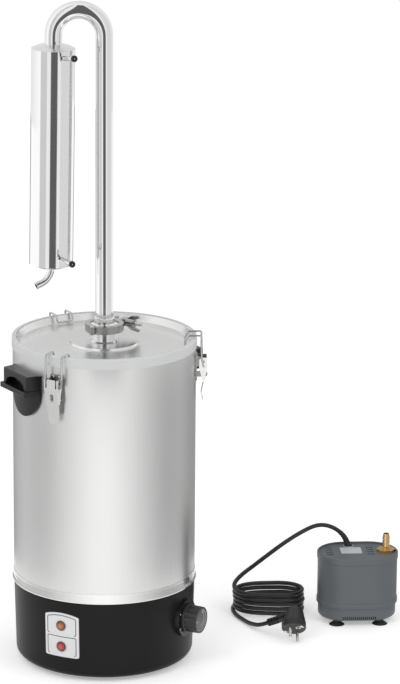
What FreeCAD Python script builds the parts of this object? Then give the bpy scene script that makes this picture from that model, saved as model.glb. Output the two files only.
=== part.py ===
import FreeCAD, Part
import math
import os
import re
import Sketcher
from FreeCAD import Placement, Rotation, Vector

# Countertop water distiller: an electric boiler, a condenser column and a circulation pump.
# Millimetres, +Z up, origin on the floor under the middle of the boiler, -Y is the front.
# An azimuth is measured from the front towards +X.

sizes = {
    # Black base of the boiler, as wide as the vessel on it
    "foot_height": 5.0, "foot_ring_gap": 2.0, "foot_ring_width": 8.0, "foot_ring_round": 1.6,
    "base_height": 118.0, "base_taper": 3.0, "base_wall": 2.5, "base_lip": 19.0, "base_edge_radius": 12.0,
    "plate_thickness": 1.5, "plate_overlap": 5.0,
    "vent_length": 18.0, "vent_width": 3.0, "vent_count": 12.0,
    # Stainless vessel and its flared skirt ring
    "vessel_radius": 134.0, "vessel_wall": 1.2, "vessel_height": 358.5, "vessel_corner": 6.0,
    "skirt_height": 14.0, "skirt_flare": 2.4, "skirt_edge": 1.2, "skirt_sheet": 0.5, "skirt_flange": 1.5,
    "skirt_flange_width": 10.0,
    # Heater, stud and controls under the vessel
    "heater_radius": 92.0, "heater_thickness": 6.0, "heater_chamfer": 2.0,
    "element_radius": 66.0, "element_tube": 4.0, "element_leg": 22.0, "element_gap": 30.0,
    "stud_radius": 3.0, "stud_gap": 0.3, "stud_reach": 1.0, "stud_washer": 1.2, "stud_nut": 2.4,
    "stud_collar": 2.0,
    "cutout_radius": 9.0, "cutout_height": 8.0, "cutout_offset": 34.0,
    "cutout_tab_width": 6.0, "cutout_tab_height": 9.0, "cutout_tab_sheet": 0.8, "cutout_tab_spread": 4.6,
    "control_width": 36.0, "control_depth": 30.0, "control_setback": 8.0, "bush_wall": 1.2, "bush_gap": 0.5,
    "shaft_radius": 3.0, "shaft_gap": 0.15, "shaft_hole_gap": 1.5, "shaft_seat": 5.0,
    "terminal_length": 46.0, "terminal_width": 22.0, "terminal_height": 18.0, "terminal_offset": 42.0,
    "terminal_well": 2.4, "terminal_pitch": 13.8,
    "inlet_width": 27.5, "inlet_height": 20.0, "inlet_depth": 22.0, "inlet_z": 60.0, "inlet_stand": 3.0,
    "inlet_rim": 5.0, "inlet_flange": 8.0, "inlet_wall": 2.5, "inlet_back": 4.0, "inlet_pin_length": 14.0,
    "inlet_pin_width": 2.0, "inlet_pin_height": 4.0, "inlet_pin_spread": 7.0, "inlet_pin_rise": 2.0,
    # Indicator panel, its lamps, the dial and the knob
    "panel_azimuth": -26.5, "panel_width": 55.0, "panel_bottom": 36.0, "panel_top": 104.0,
    "panel_arch": 5.0, "panel_corner": 3.0, "panel_thickness": 1.2, "panel_glue": 0.05,
    "lamp_radius": 7.6, "lamp_hole_radius": 6.4, "lamp_gap": 0.1, "lamp_rim": 1.2, "lamp_rise": 2.6,
    "lamp_body_length": 24.0, "lamp_low": 52.0, "lamp_high": 84.5,
    "knob_azimuth": 64.0, "knob_z": 76.5, "knob_radius": 21.5, "knob_length": 23.0, "knob_gap": 0.6,
    "knob_collar": 4.0, "knob_draft": 0.6, "knob_rim": 3.0, "knob_recess": 1.4, "knob_flutes": 14.0,
    "flute_radius": 2.2, "flute_depth": 1.2, "dial_radius": 28.0, "dial_stand": 3.5,
    # Lid, its silicone seal and the raised disc
    "rim_rise": 7.4, "rim_depth": 9.9, "rim_inset": 5.2, "rim_slope": 5.2, "rim_edge_inset": 0.6,
    "lid_sheet": 1.0, "disc_radius": 51.0, "disc_rise": 3.0, "disc_slope": 1.4,
    "seal_thickness": 0.8, "seal_overhang": 1.2, "seal_drop": 6.5, "seal_gap": 0.1, "seal_lap": 4.7,
    "seal_round": 1.5,
    # Neck, ferrules and the clamp
    "neck_radius": 19.05, "tube_wall": 1.5, "neck_height": 20.9, "neck_weld": 1.4, "ferrule_radius": 25.25,
    "ferrule_edge": 2.0, "ferrule_slope": 0.364, "gasket_thickness": 1.6, "gasket_inset": 0.6,
    "clamp_wall": 3.05, "clamp_height": 11.3, "clamp_lip": 4.25, "clamp_gap": 0.3,
    "clamp_azimuth": 147.0, "clamp_split": 2.0,
    "bolt_offset": 12.75, "bolt_radius": 2.75, "bolt_length": 40.0,
    "ear_start": 5.0, "ear_thickness": 7.0, "ear_slot": 3.1, "eye_radius": 5.0, "eye_offset": 7.0,
    "hinge_offset": 5.75, "knuckle_radius": 4.0, "knuckle_gap": 0.1, "knuckle_web": 1.2,
    "hinge_pin_radius": 1.8, "hinge_pin_stand": 0.8, "fit_gap": 0.05,
    "nut_radius": 6.5, "nut_length": 15.0, "nut_gap": 0.1, "wing_span": 12.0, "wing_reach": 10.0,
    "wing_thickness": 3.6,
    # Riser with its bend and the condenser
    "riser_radius": 12.7, "riser_wall": 1.2, "sleeve_wall": 2.8, "sleeve_height": 9.0,
    "riser_length": 416.5, "bend_radius": 36.25, "condenser_lean": 0.8,
    "down_length": 15.2, "down_seat": 1.0, "cap_height": 6.0, "cap_brim": 8.0, "cap_sheet": 0.6,
    "jacket_radius": 31.75, "jacket_length": 316.8, "jacket_wall": 1.2,
    "sheet_thickness": 2.0, "sheet_setback": 12.0, "bundle_radius": 17.0, "tube_stand": 2.0,
    "vapour_tube_radius": 5.0, "vapour_tube_wall": 1.0, "bottom_cap_height": 5.0, "bottom_cap_brim": 10.0,
    "stub_radius": 4.0, "stub_bore": 3.1, "stub_reach": 68.0, "stub_azimuth": 29.0, "stub_collar": 1.6,
    "stub_collar_reach": 2.5, "stub_rise": 9.0, "stub_high": 14.0, "stub_low": 14.0,
    "spout_radius": 5.2, "spout_bore": 4.2, "spout_drop": 4.0, "spout_bend": 24.0, "spout_turn": 66.0,
    "spout_tail": 9.0, "spout_azimuth": -70.0,
    # Toggle latches: each reach is from the vessel's wall, each height from the pivot
    "latch_azimuth": -29.0, "latch_drop": 36.4, "pivot_reach": 10.5, "pivot_radius": 2.0,
    "crank_radius": 7.5, "crank_angle": -87.0,
    "latch_plate_width": 20.0, "latch_plate_top": 10.0, "latch_plate_bottom": -30.0, "latch_sheet": 1.2,
    "ear_outer": 8.8, "latch_ear": 1.5, "ear_round": 4.0, "ear_root": 9.0,
    "ear_room": 0.3, "ear_room_foot": -6.5,
    "lever_half": 11.2, "lever_tip_half": 8.8, "lever_reach": 15.0, "lever_top": 6.0, "lever_knee": -9.0,
    "lever_low_reach": 7.2, "lever_low": -50.0, "lever_tip_reach": 9.6, "lever_tip": -61.0,
    "flange_depth": 10.8, "flange_corner": 3.0, "flange_tail": 2.6, "flange_end": -31.0,
    "slot_half": 2.6, "slot_high": -15.5, "slot_low": -28.0,
    "staple_half": 1.0, "staple_reach": 17.0, "staple_hole": 2.0, "staple_y": -21.5, "staple_height": 8.0,
    "wire_radius": 1.4, "bail_half": 13.0, "bail_end": 9.4, "bail_bend": 2.2, "bail_reach": 8.0,
    "bail_knee": 6.0, "bail_top": 39.8, "hook_reach": -11.0, "hook_tip_reach": -16.4, "hook_tip": 30.0,
    # Moulded handles: each reach is from the vessel's wall
    "handle_azimuth": -57.0, "handle_drop": 32.9, "handle_half": 38.0, "handle_height": 67.0,
    "handle_root": 8.0, "handle_round": 1.8, "pad_thickness": 4.0, "hood_reach": 17.0, "hood_half": 33.0,
    "hood_height": 29.5, "lip_reach": 22.0, "lip_half": 35.0, "lip_thickness": 7.5,
    "recess_half": 27.0, "recess_shoulder": 23.0, "recess_reach": 5.0, "recess_top": 8.0, "recess_arch": 6.0,
    "screw_radius": 4.25, "screw_height": 1.6, "screw_spread": 13.5,
    # Pump
    "pump_x": 383.0, "pump_y": 155.5, "pump_yaw": 4.0, "pump_length": 124.0, "pump_depth": 88.0,
    "pump_top": 109.0, "pump_wall": 3.0, "deck_drop": 2.5, "deck_thickness": 3.0, "deck_ledge": 1.0,
    "pump_split": 29.5, "pump_bottom": 8.0, "pump_bead": 1.0, "bead_height": 7.5, "band_height": 10.5,
    "bead_round": 1.5, "base_inset": 1.5, "base_round": 5.0, "pump_base_wall": 3.0,
    "slot_length": 10.5, "slot_width": 4.0, "slot_pitch": 10.4, "slot_rows": 4.0, "slot_middle": 5.2,
    "slot_left": -43.0, "slot_right": 19.8,
    "grille_width": 1.5, "grille_pitch": 3.1, "grille_count": 17.0, "grille_top": 16.0, "grille_depth": 10.0,
    "cup_radius": 12.0, "cup_neck": 5.4, "cup_rise": 4.8, "cup_inset_x": 29.0, "cup_inset_y": 17.5,
    "nipple_dx": 43.8, "nipple_dy": 2.5, "hex_across": 26.0, "hex_height": 4.0, "nipple_radius": 5.0,
    "nipple_bore": 3.4, "nipple_height": 24.5, "nipple_root": 12.0, "barb_rise": 0.8, "barb_pitch": 6.0,
    "barb_count": 3.0, "barb_start": 20.0,
    "gland_dx": -11.2, "gland_dy": 29.0, "gland_radius": 5.5, "gland_height": 6.0, "gland_tilt": 20.0,
    "gland_collar": 1.0, "gland_collar_height": 2.0, "gland_stem": 4.0, "gland_lip": 0.9,
    "motor_length": 52.0, "motor_depth": 44.0, "motor_height": 38.0, "motor_shift": -46.0, "motor_end": 14.0,
    "rotor_radius": 12.0, "rotor_gap": 0.5, "axle_radius": 1.5, "axle_seat": 2.0,
    "chamber_radius": 19.0, "chamber_bore": 16.6, "chamber_length": 16.0, "chamber_wall": 2.0,
    "chamber_foot": 12.0, "hub_radius": 6.0, "hub_length": 13.0, "blade_count": 6.0, "blade_reach": 15.5,
    "blade_width": 10.0, "blade_thickness": 1.5,
    # Pump cord, its coil and the plug
    "cord_radius": 3.3, "coil_x": 248.0, "coil_y": 185.0, "coil_half_x": 54.0, "coil_half_y": 34.0,
    "coil_turns": 5.5, "cord_start": 9.5, "cord_finish": 15.0,
    "plug_x": 284.2, "plug_y": 59.3, "plug_z": 29.0,
    "plug_yaw": -26.1, "plug_pitch": -25.7, "plug_roll": 138.5, "plug_radius": 18.5, "plug_face": 13.5,
    "plug_rim": 9.0, "plug_edge": 1.5, "plug_back": 19.5, "plug_back_radius": 11.0, "plug_back_shift": 3.0,
    "plug_neck_back": 11.0, "plug_neck_length": 46.0, "plug_shoulder": 8.5, "plug_shoulder_start": 6.0,
    "plug_sleeve": 1.2, "plug_sleeve_length": 24.0, "plug_rib": 1.4, "plug_rib_width": 2.6,
    "plug_rib_pitch": 5.0, "plug_ribs": 4.0,
    "pin_radius": 2.4, "pin_length": 19.0, "pin_spacing": 19.0, "pin_round": 1.2,
    "earth_width": 3.5, "earth_length": 7.0, "earth_sheet": 0.8, "earth_inset": 4.0,
    "socket_offset": 8.0, "socket_radius": 4.0, "socket_bore": 2.4,
}

doc = FreeCAD.newDocument("WaterDistiller")
sheet = doc.addObject("Spreadsheet::Sheet", "Sizes")
for row, (alias, number) in enumerate(sizes.items(), start=1):
    sheet.set(f"A{row}", alias)
    sheet.set(f"B{row}", str(number))
    sheet.setAlias(f"B{row}", alias)
doc.recompute()

up = Vector(0, 0, 1)
nodes = []


def bound(expression):
    """The expression with each alias written as a cell of the sheet."""
    return re.sub(r"\b([a-z]+(?:_[a-z]+)+)\b", r"Sizes.\1", expression)


def value(expression):
    """The number that an expression of aliases gives."""
    return float(sheet.evalExpression(bound(expression)))


def node(piece):
    """A piece that is handed over under its own label."""
    nodes.append(piece)
    return piece


def place(piece, at=("0", "0", "0"), rotation=None):
    """Set a placement whose position is bound to the sheet."""
    if rotation is not None:
        piece.Placement = Placement(Vector(), rotation)
    for axis, expression in zip("xyz", at):
        if expression != "0":
            piece.setExpression(f"Placement.Base.{axis}", bound(expression))
    return piece


def spun(azimuth):
    """The rotation that takes the front to an azimuth."""
    return Rotation(up, value(azimuth))


def facing(azimuth):
    """Local +Z points outwards at an azimuth, and local +Y up."""
    return spun(azimuth) * Rotation(Vector(1, 0, 0), 90)


def primitive(kind, name, measures, at=("0", "0", "0"), rotation=None):
    """A Part primitive whose sizes are bound to the sheet."""
    piece = doc.addObject("Part::" + kind, name)
    for prop, expression in measures.items():
        piece.setExpression(prop, bound(expression))
    return place(piece, at, rotation)


def cylinder(name, radius, height, at=("0", "0", "0"), rotation=None):
    return primitive("Cylinder", name, {"Radius": radius, "Height": height}, at, rotation)


def box(name, length, width, height, at=("0", "0", "0"), rotation=None):
    return primitive("Box", name, {"Length": length, "Width": width, "Height": height}, at, rotation)


def fused(name, *pieces):
    result = doc.addObject("Part::MultiFuse", name)
    result.Shapes = list(pieces)
    return result


def shared(name, *pieces):
    result = doc.addObject("Part::MultiCommon", name)
    result.Shapes = list(pieces)
    return result


def cut(name, base, *tools):
    result = doc.addObject("Part::Cut", name)
    result.Base = base
    result.Tool = tools[0] if len(tools) == 1 else grouped(name + "_tools", *tools)
    return result


def grouped(name, *pieces):
    result = doc.addObject("Part::Compound", name)
    result.Links = list(pieces)
    return result


def formed(name, shape, placement=None):
    """A feature whose shape is worked out here from the sheet's values."""
    piece = doc.addObject("Part::Feature", name)
    piece.Shape = shape
    if placement is not None:
        piece.Placement = placement
    return piece


def outlined(body, name, plane, outline):
    """A closed sketch of straight sides, each corner bound to the sheet."""
    sketch = body.newObject("Sketcher::SketchObject", name)
    support = next(face for face in body.Origin.OriginFeatures if face.Role == plane)
    sketch.AttachmentSupport = [(support, "")]
    sketch.MapMode = "FlatFace"
    corners = [Vector(value(a), value(b), 0) for a, b in outline]
    count = len(corners)
    for i, corner in enumerate(corners):
        sketch.addGeometry(Part.LineSegment(corner, corners[(i + 1) % count]))
    for i in range(count):
        sketch.addConstraint(Sketcher.Constraint("Coincident", i, 2, (i + 1) % count, 1))
    for i, pair in enumerate(outline):
        for kind, line, expression, number in zip(("DistanceX", "DistanceY"), (-2, -1), pair, corners[i]):
            if expression == "0":
                sketch.addConstraint(Sketcher.Constraint("PointOnObject", i, 1, line))
                continue
            index = sketch.addConstraint(Sketcher.Constraint(kind, -1, 1, i, 1, number))
            sketch.setExpression(f"Constraints[{index}]", bound(expression))
    return sketch


def turned(name, outline, roundings=(), angle=360):
    """A body turned about Z from an outline of (radius, height) corners."""
    body = doc.addObject("PartDesign::Body", name)
    sketch = outlined(body, name + "_outline", "XZ_Plane", outline)
    feature = body.newObject("PartDesign::Revolution", name + "_turn")
    feature.Profile = sketch
    feature.ReferenceAxis = (sketch, ["V_Axis"])
    feature.Midplane = True
    feature.Angle = angle
    sketch.Visibility = False
    for number, (radius, height, rounding) in enumerate(roundings):
        rounded(body, f"{name}_round_{number}", ring_edges(radius, height), rounding)
    return body


def rounded(body, name, wanted, radius):
    """Fillet the tip's edges that a test picks out."""
    doc.recompute()
    edges = [f"Edge{i}" for i, edge in enumerate(body.Tip.Shape.Edges, start=1) if wanted(edge)]
    if not edges:
        raise ValueError(f"{name} finds no edge")
    fillet = body.newObject("PartDesign::Fillet", name)
    fillet.Base = (body.Tip if body.Tip != fillet else fillet.BaseFeature, edges)
    fillet.setExpression("Radius", bound(radius))
    body.Tip = fillet
    return fillet


def ring_edges(radius, height):
    """Circles about Z with a radius at a height."""
    r, z = value(radius), value(height)

    def wanted(edge):
        curve = edge.Curve
        if not isinstance(curve, Part.Circle):
            return False
        return abs(curve.Radius - r) < 1e-4 and abs(curve.Center.z - z) < 1e-4
    return wanted


def softened(block, levels, radius):
    """Round a block's edges that lie flat at some levels."""
    edges = [edge for edge in block.Edges if any(abs(edge.CenterOfMass.z - z) < 1e-6 for z in levels)]
    return block.makeFillet(radius, edges)


def polygon(points):
    return Part.Wire(Part.makePolygon(list(points) + [points[0]]))


def bent_path(points, radii):
    """Straight runs joined by tangent arcs, one radius for each inner point."""
    edges = []
    start = points[0]
    for before, corner, after, radius in zip(points, points[1:], points[2:], radii):
        inward = (before - corner).normalize()
        outward = (after - corner).normalize()
        half = (math.pi - inward.getAngle(outward)) / 2
        reach = radius * math.tan(half)
        first = corner + inward * reach
        last = corner + outward * reach
        bisector = (inward + outward).normalize()
        middle = corner + bisector * (radius / math.cos(half) - radius)
        if (first - start).Length > 1e-6:
            edges.append(Part.LineSegment(start, first).toShape())
        edges.append(Part.Arc(first, middle, last).toShape())
        start = last
    edges.append(Part.LineSegment(start, points[-1]).toShape())
    return Part.Wire(edges)


def swept(path, radius):
    """A round bar along a path."""
    edge = path.Edges[0]
    start = edge.valueAt(edge.FirstParameter)
    ahead = edge.tangentAt(edge.FirstParameter)
    if (start - path.OrderedVertexes[0].Point).Length > 1e-6:
        start = path.OrderedVertexes[0].Point
        ahead = edge.tangentAt(edge.LastParameter) * -1
    ring = Part.Wire(Part.makeCircle(radius, start, ahead))
    return path.makePipeShell([ring], True, False)


# Radii and levels, each worked out from the sizes
base_foot = "(vessel_radius - base_taper)"
lip_edge = f"({base_foot} - base_lip)"
inlet_front = "(vessel_radius + inlet_stand)"
dial_face = "(vessel_radius + dial_stand)"
shaft_foot = f"({base_foot} - control_setback - shaft_seat)"
rim_radius = "(vessel_radius - rim_inset)"
rim_edge = "(vessel_radius - rim_edge_inset)"
seal_inner = "(vessel_radius - seal_lap)"
neck_bore = "(neck_radius - tube_wall)"
sleeve_radius = "(riser_radius + sleeve_wall)"
clamp_outer = "(ferrule_radius + clamp_wall)"
clamp_inner = "(ferrule_radius - clamp_lip)"
plate_level = "(foot_height + base_wall)"
base_top = "(foot_height + base_height)"
vessel_floor = f"({base_top} + skirt_flange)"
vessel_top = f"({vessel_floor} + vessel_height)"
rim_top = f"({vessel_top} + rim_rise)"
lid_top = f"({rim_top} - rim_depth)"
disc_top = f"({lid_top} + disc_rise)"
joint_level = f"({disc_top} + neck_height)"
upper_face = f"({joint_level} + gasket_thickness / 2)"
lower_face = f"({joint_level} - gasket_thickness / 2)"
taper = "(ferrule_radius - neck_radius) * ferrule_slope"
sleeve_foot = f"({upper_face} + ferrule_edge + {taper})"
sleeve_top = f"({sleeve_foot} + sleeve_height)"
bend_level = f"({sleeve_top} + riser_length)"
latch_level = f"({rim_top} - latch_drop)"
handle_top = f"({rim_top} - handle_drop)"


def wall_reach(level):
    """The radius of the base's tapered wall at a level."""
    return f"({base_foot} + base_taper * ({level} - foot_height) / base_height)"


# Black base shell, its bottom plate and the foot ring

def base_envelope(name, outset):
    """The solid inside the base's outer face, or outset from it."""
    return turned(name, [
        ("0", "foot_height"), (f"{base_foot} + {outset}", "foot_height"),
        (f"vessel_radius + {outset}", base_top), ("0", base_top)])


def radial_hole(name, radius, azimuth, height):
    """A cutter that points outwards at an azimuth."""
    hole = cylinder(name, radius, "vessel_radius * 1.3", rotation=facing(azimuth))
    return place(hole, ("0", "0", height))


def make_base():
    wall = turned("base_wall_body", [
        (lip_edge, "foot_height"), (base_foot, "foot_height"), ("vessel_radius", base_top),
        ("vessel_radius - base_wall", base_top), (f"{base_foot} - base_wall", plate_level),
        (lip_edge, plate_level)],
        [(base_foot, "foot_height", "base_edge_radius"),
         (f"{base_foot} - base_wall", plate_level, "base_edge_radius - base_wall")])
    holes = [radial_hole(f"lamp_hole_{n}", "lamp_hole_radius", "panel_azimuth", z)
             for n, z in enumerate(("lamp_low", "lamp_high"))]
    holes.append(radial_hole("shaft_hole", "shaft_radius + shaft_hole_gap", "knob_azimuth", "knob_z"))
    holes.append(box("inlet_hole", "inlet_width", "vessel_radius", "inlet_height",
                     ("-inlet_width / 2", "0", "inlet_z - inlet_height / 2")))
    node(cut("base_shell", wall, *holes))

    disc_radius = f"({lip_edge} + plate_overlap)"
    disc = turned("base_disc", [
        ("stud_radius + stud_gap", plate_level), (disc_radius, plate_level),
        (disc_radius, f"{plate_level} + plate_thickness"),
        ("stud_radius + stud_gap", f"{plate_level} + plate_thickness")])
    vents = []
    count = int(value("vent_count"))
    for n in range(count):
        vent = box(f"vent_{n}", "vent_length", "vent_width", "base_height / 4")
        turn = Rotation(up, 360 * (n + 0.5) / count)
        vent.Placement = Placement(Vector(), turn) * Placement(
            Vector(value(f"{lip_edge} / 2"), -value("vent_width") / 2, 0), Rotation())
        vents.append(vent)
    node(cut("base_plate", disc, *vents))

    ring = f"({lip_edge} - foot_ring_gap)"
    node(turned("foot_ring", [
        (f"{ring} - foot_ring_width", "0"), (ring, "0"), (ring, plate_level),
        (f"{ring} - foot_ring_width", plate_level)], [(ring, "0", "foot_ring_round")]))


def make_heating():
    plate_foot = f"({vessel_floor} - heater_thickness)"
    node(turned("heater_plate", [
        ("0", plate_foot), ("heater_radius - heater_chamfer", plate_foot),
        ("heater_radius", f"{plate_foot} + heater_chamfer"), ("heater_radius", vessel_floor),
        ("0", vessel_floor)]))

    level = f"({plate_foot} - element_tube)"
    gap = value("element_gap")
    ring = primitive("Torus", "element_ring", {"Radius1": "element_radius", "Radius2": "element_tube"},
                     ("0", "0", level), Rotation(up, gap / 2 - 90))
    ring.setExpression("Angle3", bound("360 - element_gap"))
    legs = []
    for n, turn in enumerate((gap / 2 - 90, -gap / 2 - 90)):
        leg = cylinder(f"element_leg_{n}", "element_tube", "element_leg")
        spot = Rotation(up, turn).multVec(Vector(value("element_radius"), 0, 0))
        leg.Placement = Placement(Vector(spot.x, spot.y, value(f"{level} - element_leg")), Rotation())
        legs.append(leg)
    node(fused("heater_element", ring, *legs))

    stud_foot = "(foot_height - stud_reach)"
    shank = cylinder("stud_shank", "stud_radius", f"{plate_foot} - {stud_foot}", ("0", "0", stud_foot))
    washer = cylinder("stud_washer_disc", "stud_radius * 3", "stud_washer",
                      ("0", "0", f"{plate_level} - stud_washer"))
    size = {"Circumradius": "stud_radius * 1.9", "Height": "stud_nut"}
    hexagon = primitive("Prism", "stud_nut_prism", size,
                        ("0", "0", f"{plate_level} - stud_washer - stud_nut"))
    hexagon.Polygon = 6
    collar = cylinder("stud_collar_ring", "stud_radius * 2", "stud_collar",
                      ("0", "0", f"{plate_level} + plate_thickness"))
    node(fused("base_stud", shank, washer, hexagon, collar))

    cup = cylinder("cutout_cup", "cutout_radius", "cutout_height",
                   ("-cutout_offset", "0", f"{plate_foot} - cutout_height"))
    tabs = [box(f"cutout_tab_{n}", "cutout_tab_sheet", "cutout_tab_width", "cutout_tab_height", (
        f"-cutout_offset + {side} * cutout_tab_spread - cutout_tab_sheet / 2", "-cutout_tab_width / 2",
        f"{plate_foot} - cutout_height - cutout_tab_height")) for n, side in enumerate((-1, 1))]
    node(fused("thermal_cutout", cup, *tabs))


def make_controls():
    """Thermostat with a bored bush for the knob's shaft, and the terminal block on the base plate."""
    front = value(f"{wall_reach('knob_z')} - base_wall - control_setback")
    half = value("control_width") / 2
    seat = Placement(Vector(0, 0, value("knob_z")), facing("knob_azimuth"))
    block = box("control_block", "control_width", "control_width", "control_depth")
    block.Placement = seat * Placement(Vector(-half, -half, front - value("control_depth")), Rotation())
    bush = cylinder("control_bush", "shaft_radius + bush_wall", "control_setback - bush_gap")
    bush.Placement = seat * Placement(Vector(0, 0, front), Rotation())
    bore = cylinder("control_bore", "shaft_radius + shaft_gap", "control_depth")
    bore.Placement = seat * Placement(Vector(0, 0, value(f"{shaft_foot} - bush_gap")), Rotation())
    node(cut("thermostat_body", fused("thermostat_blank", block, bush), bore))

    foot = f"({plate_level} + plate_thickness)"
    block = box("terminal_block_body", "terminal_length", "terminal_width", "terminal_height",
                ("-terminal_length / 2", "terminal_offset", foot))
    wells = [cylinder(f"terminal_well_{n}", "terminal_well", "terminal_height", (
        f"terminal_pitch * {n - 1}", "terminal_offset + terminal_width / 2",
        f"{foot} + terminal_height * 0.6")) for n in range(3)]
    node(cut("terminal_block", block, *wells))


def make_inlet():
    """Appliance inlet in the back of the base, its rim seated on the curved wall."""
    flange = box(
        "inlet_flange_block", "inlet_width + 2 * inlet_rim", "inlet_flange", "inlet_height + 2 * inlet_rim",
        ("-inlet_width / 2 - inlet_rim", f"{inlet_front} - inlet_flange",
         "inlet_z - inlet_height / 2 - inlet_rim"))
    rim = cut("inlet_rim_piece", flange, base_envelope("inlet_seat", "0"))
    sleeve = box("inlet_sleeve", "inlet_width", "inlet_depth + inlet_back", "inlet_height", (
        "-inlet_width / 2", f"{inlet_front} - inlet_depth - inlet_back", "inlet_z - inlet_height / 2"))
    socket = box(
        "inlet_socket", "inlet_width - 2 * inlet_wall", "inlet_depth", "inlet_height - 2 * inlet_wall",
        ("-inlet_width / 2 + inlet_wall", f"{inlet_front} - inlet_depth + inlet_pin_width",
         "inlet_z - inlet_height / 2 + inlet_wall"))
    shell = cut("inlet_shell", fused("inlet_blank", rim, sleeve), socket)
    pins = [box(f"inlet_pin_{n}", "inlet_pin_width", "inlet_pin_length", "inlet_pin_height", (
        f"inlet_pin_spread * {side} - inlet_pin_width / 2", f"{inlet_front} - inlet_depth",
        f"inlet_z + inlet_pin_rise * {rise} - inlet_pin_height / 2"))
        for n, (side, rise) in enumerate(((-1, -1), (0, 1), (1, -1)))]
    node(fused("power_inlet", shell, *pins))


def make_panel():
    """Curved plate for the two lamps, with an arched top."""
    layer = cut("panel_layer", base_envelope("panel_outer", "panel_thickness"),
                base_envelope("panel_inner", "panel_glue"))
    half, low, high = value("panel_width / 2"), value("panel_bottom"), value("panel_top")
    shoulder = high - value("panel_arch")
    points = [Vector(half, 0, shoulder), Vector(half, 0, low), Vector(-half, 0, low),
              Vector(-half, 0, shoulder)]
    edges = [Part.LineSegment(a, b).toShape() for a, b in zip(points, points[1:])]
    edges.append(Part.Arc(points[3], Vector(0, 0, high), points[0]).toShape())
    blank = Part.Face(Part.Wire(edges)).extrude(Vector(0, -value("vessel_radius * 1.3"), 0))
    corners = [edge for edge in blank.Edges if edge.BoundBox.YLength > half]
    blank = blank.makeFillet(value("panel_corner"), corners)
    face = formed("panel_blank", blank, Placement(Vector(), spun("panel_azimuth")))
    plate = shared("panel_plate", layer, face)
    holes = [radial_hole(f"panel_hole_{n}", "lamp_hole_radius", "panel_azimuth", z)
             for n, z in enumerate(("lamp_low", "lamp_high"))]
    node(cut("indicator_panel", plate, *holes))

    shank = "(lamp_hole_radius - lamp_gap)"
    dome = "(lamp_radius * 0.55)"
    for label, level in (("lamp_red", "lamp_low"), ("lamp_amber", "lamp_high")):
        seat = f"({wall_reach(level)} + panel_thickness + lamp_gap * 4)"
        crown = f"({seat} - lamp_gap * 4 + lamp_rise)"
        lens = turned(label, [
            ("0", f"{seat} - lamp_body_length"), (shank, f"{seat} - lamp_body_length"), (shank, seat),
            ("lamp_radius", seat), ("lamp_radius", f"{seat} + lamp_rim - lamp_gap * 4"), (dome, crown),
            ("0", crown)],
            [(dome, crown, "lamp_radius * 0.4")])
        lens.Placement = Placement(Vector(0, 0, value(level)), facing("panel_azimuth"))
        node(lens)


def make_knob():
    seat = cylinder("dial_blank", "dial_radius", "dial_stand + base_taper + base_wall * 4")
    seat.Placement = Placement(Vector(0, 0, value("knob_z")), facing("knob_azimuth")) * Placement(
        Vector(0, 0, value(f"{base_foot} - base_wall * 4")), Rotation())
    bore = radial_hole("dial_bore", "shaft_radius + shaft_hole_gap", "knob_azimuth", "knob_z")
    node(cut("dial_plate", seat, base_envelope("dial_seat", "0"), bore))

    foot = f"({dial_face} + knob_gap)"
    head = f"({foot} + knob_length)"
    grip = "(knob_radius - knob_draft * 2)"
    blank = turned("knob_blank", [
        ("0", shaft_foot), ("shaft_radius", shaft_foot), ("shaft_radius", foot), ("knob_radius", foot),
        ("knob_radius", f"{foot} + knob_collar * 0.75"), (grip, f"{foot} + knob_collar"),
        ("knob_radius - knob_draft * 3", head), ("knob_radius - knob_draft * 3 - knob_rim", head),
        ("knob_radius - knob_draft * 4 - knob_rim", f"{head} - knob_recess"), ("0", f"{head} - knob_recess")],
        [("knob_radius - knob_draft * 3", head, "knob_draft")])
    flutes = []
    count = int(value("knob_flutes"))
    for n in range(count):
        flute = cylinder(f"flute_{n}", "flute_radius", "knob_length")
        spot = Vector(value(f"{grip} - flute_depth + flute_radius"), 0, value(f"{foot} + knob_collar"))
        flute.Placement = Placement(Rotation(up, 360 * n / count).multVec(spot), Rotation())
        flutes.append(flute)
    knob = cut("thermostat_knob", blank, *flutes)
    knob.Placement = Placement(Vector(0, 0, value("knob_z")), facing("knob_azimuth"))
    node(knob)


def make_vessel():
    node(turned("vessel", [
        ("0", vessel_floor), ("vessel_radius", vessel_floor), ("vessel_radius", vessel_top),
        ("vessel_radius - vessel_wall", vessel_top),
        ("vessel_radius - vessel_wall", f"{vessel_floor} + vessel_wall"),
        ("0", f"{vessel_floor} + vessel_wall")],
        [("vessel_radius", vessel_floor, "vessel_corner"),
         ("vessel_radius - vessel_wall", f"{vessel_floor} + vessel_wall", "vessel_corner - vessel_wall")]))

    top = f"({base_top} + skirt_height)"
    node(turned("skirt_ring", [
        ("vessel_radius - skirt_flange_width", base_top), ("vessel_radius + skirt_flare", base_top),
        ("vessel_radius + skirt_flare", f"{base_top} + skirt_edge"),
        ("vessel_radius + skirt_flare * 0.45", f"{base_top} + skirt_height * 0.35"),
        ("vessel_radius + skirt_sheet * 1.2", f"{base_top} + skirt_height * 0.75"),
        ("vessel_radius + skirt_sheet", top), ("vessel_radius", top),
        ("vessel_radius", f"{vessel_floor} + vessel_corner"),
        ("vessel_radius", vessel_floor), ("vessel_radius - skirt_flange_width", vessel_floor)]))


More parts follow.
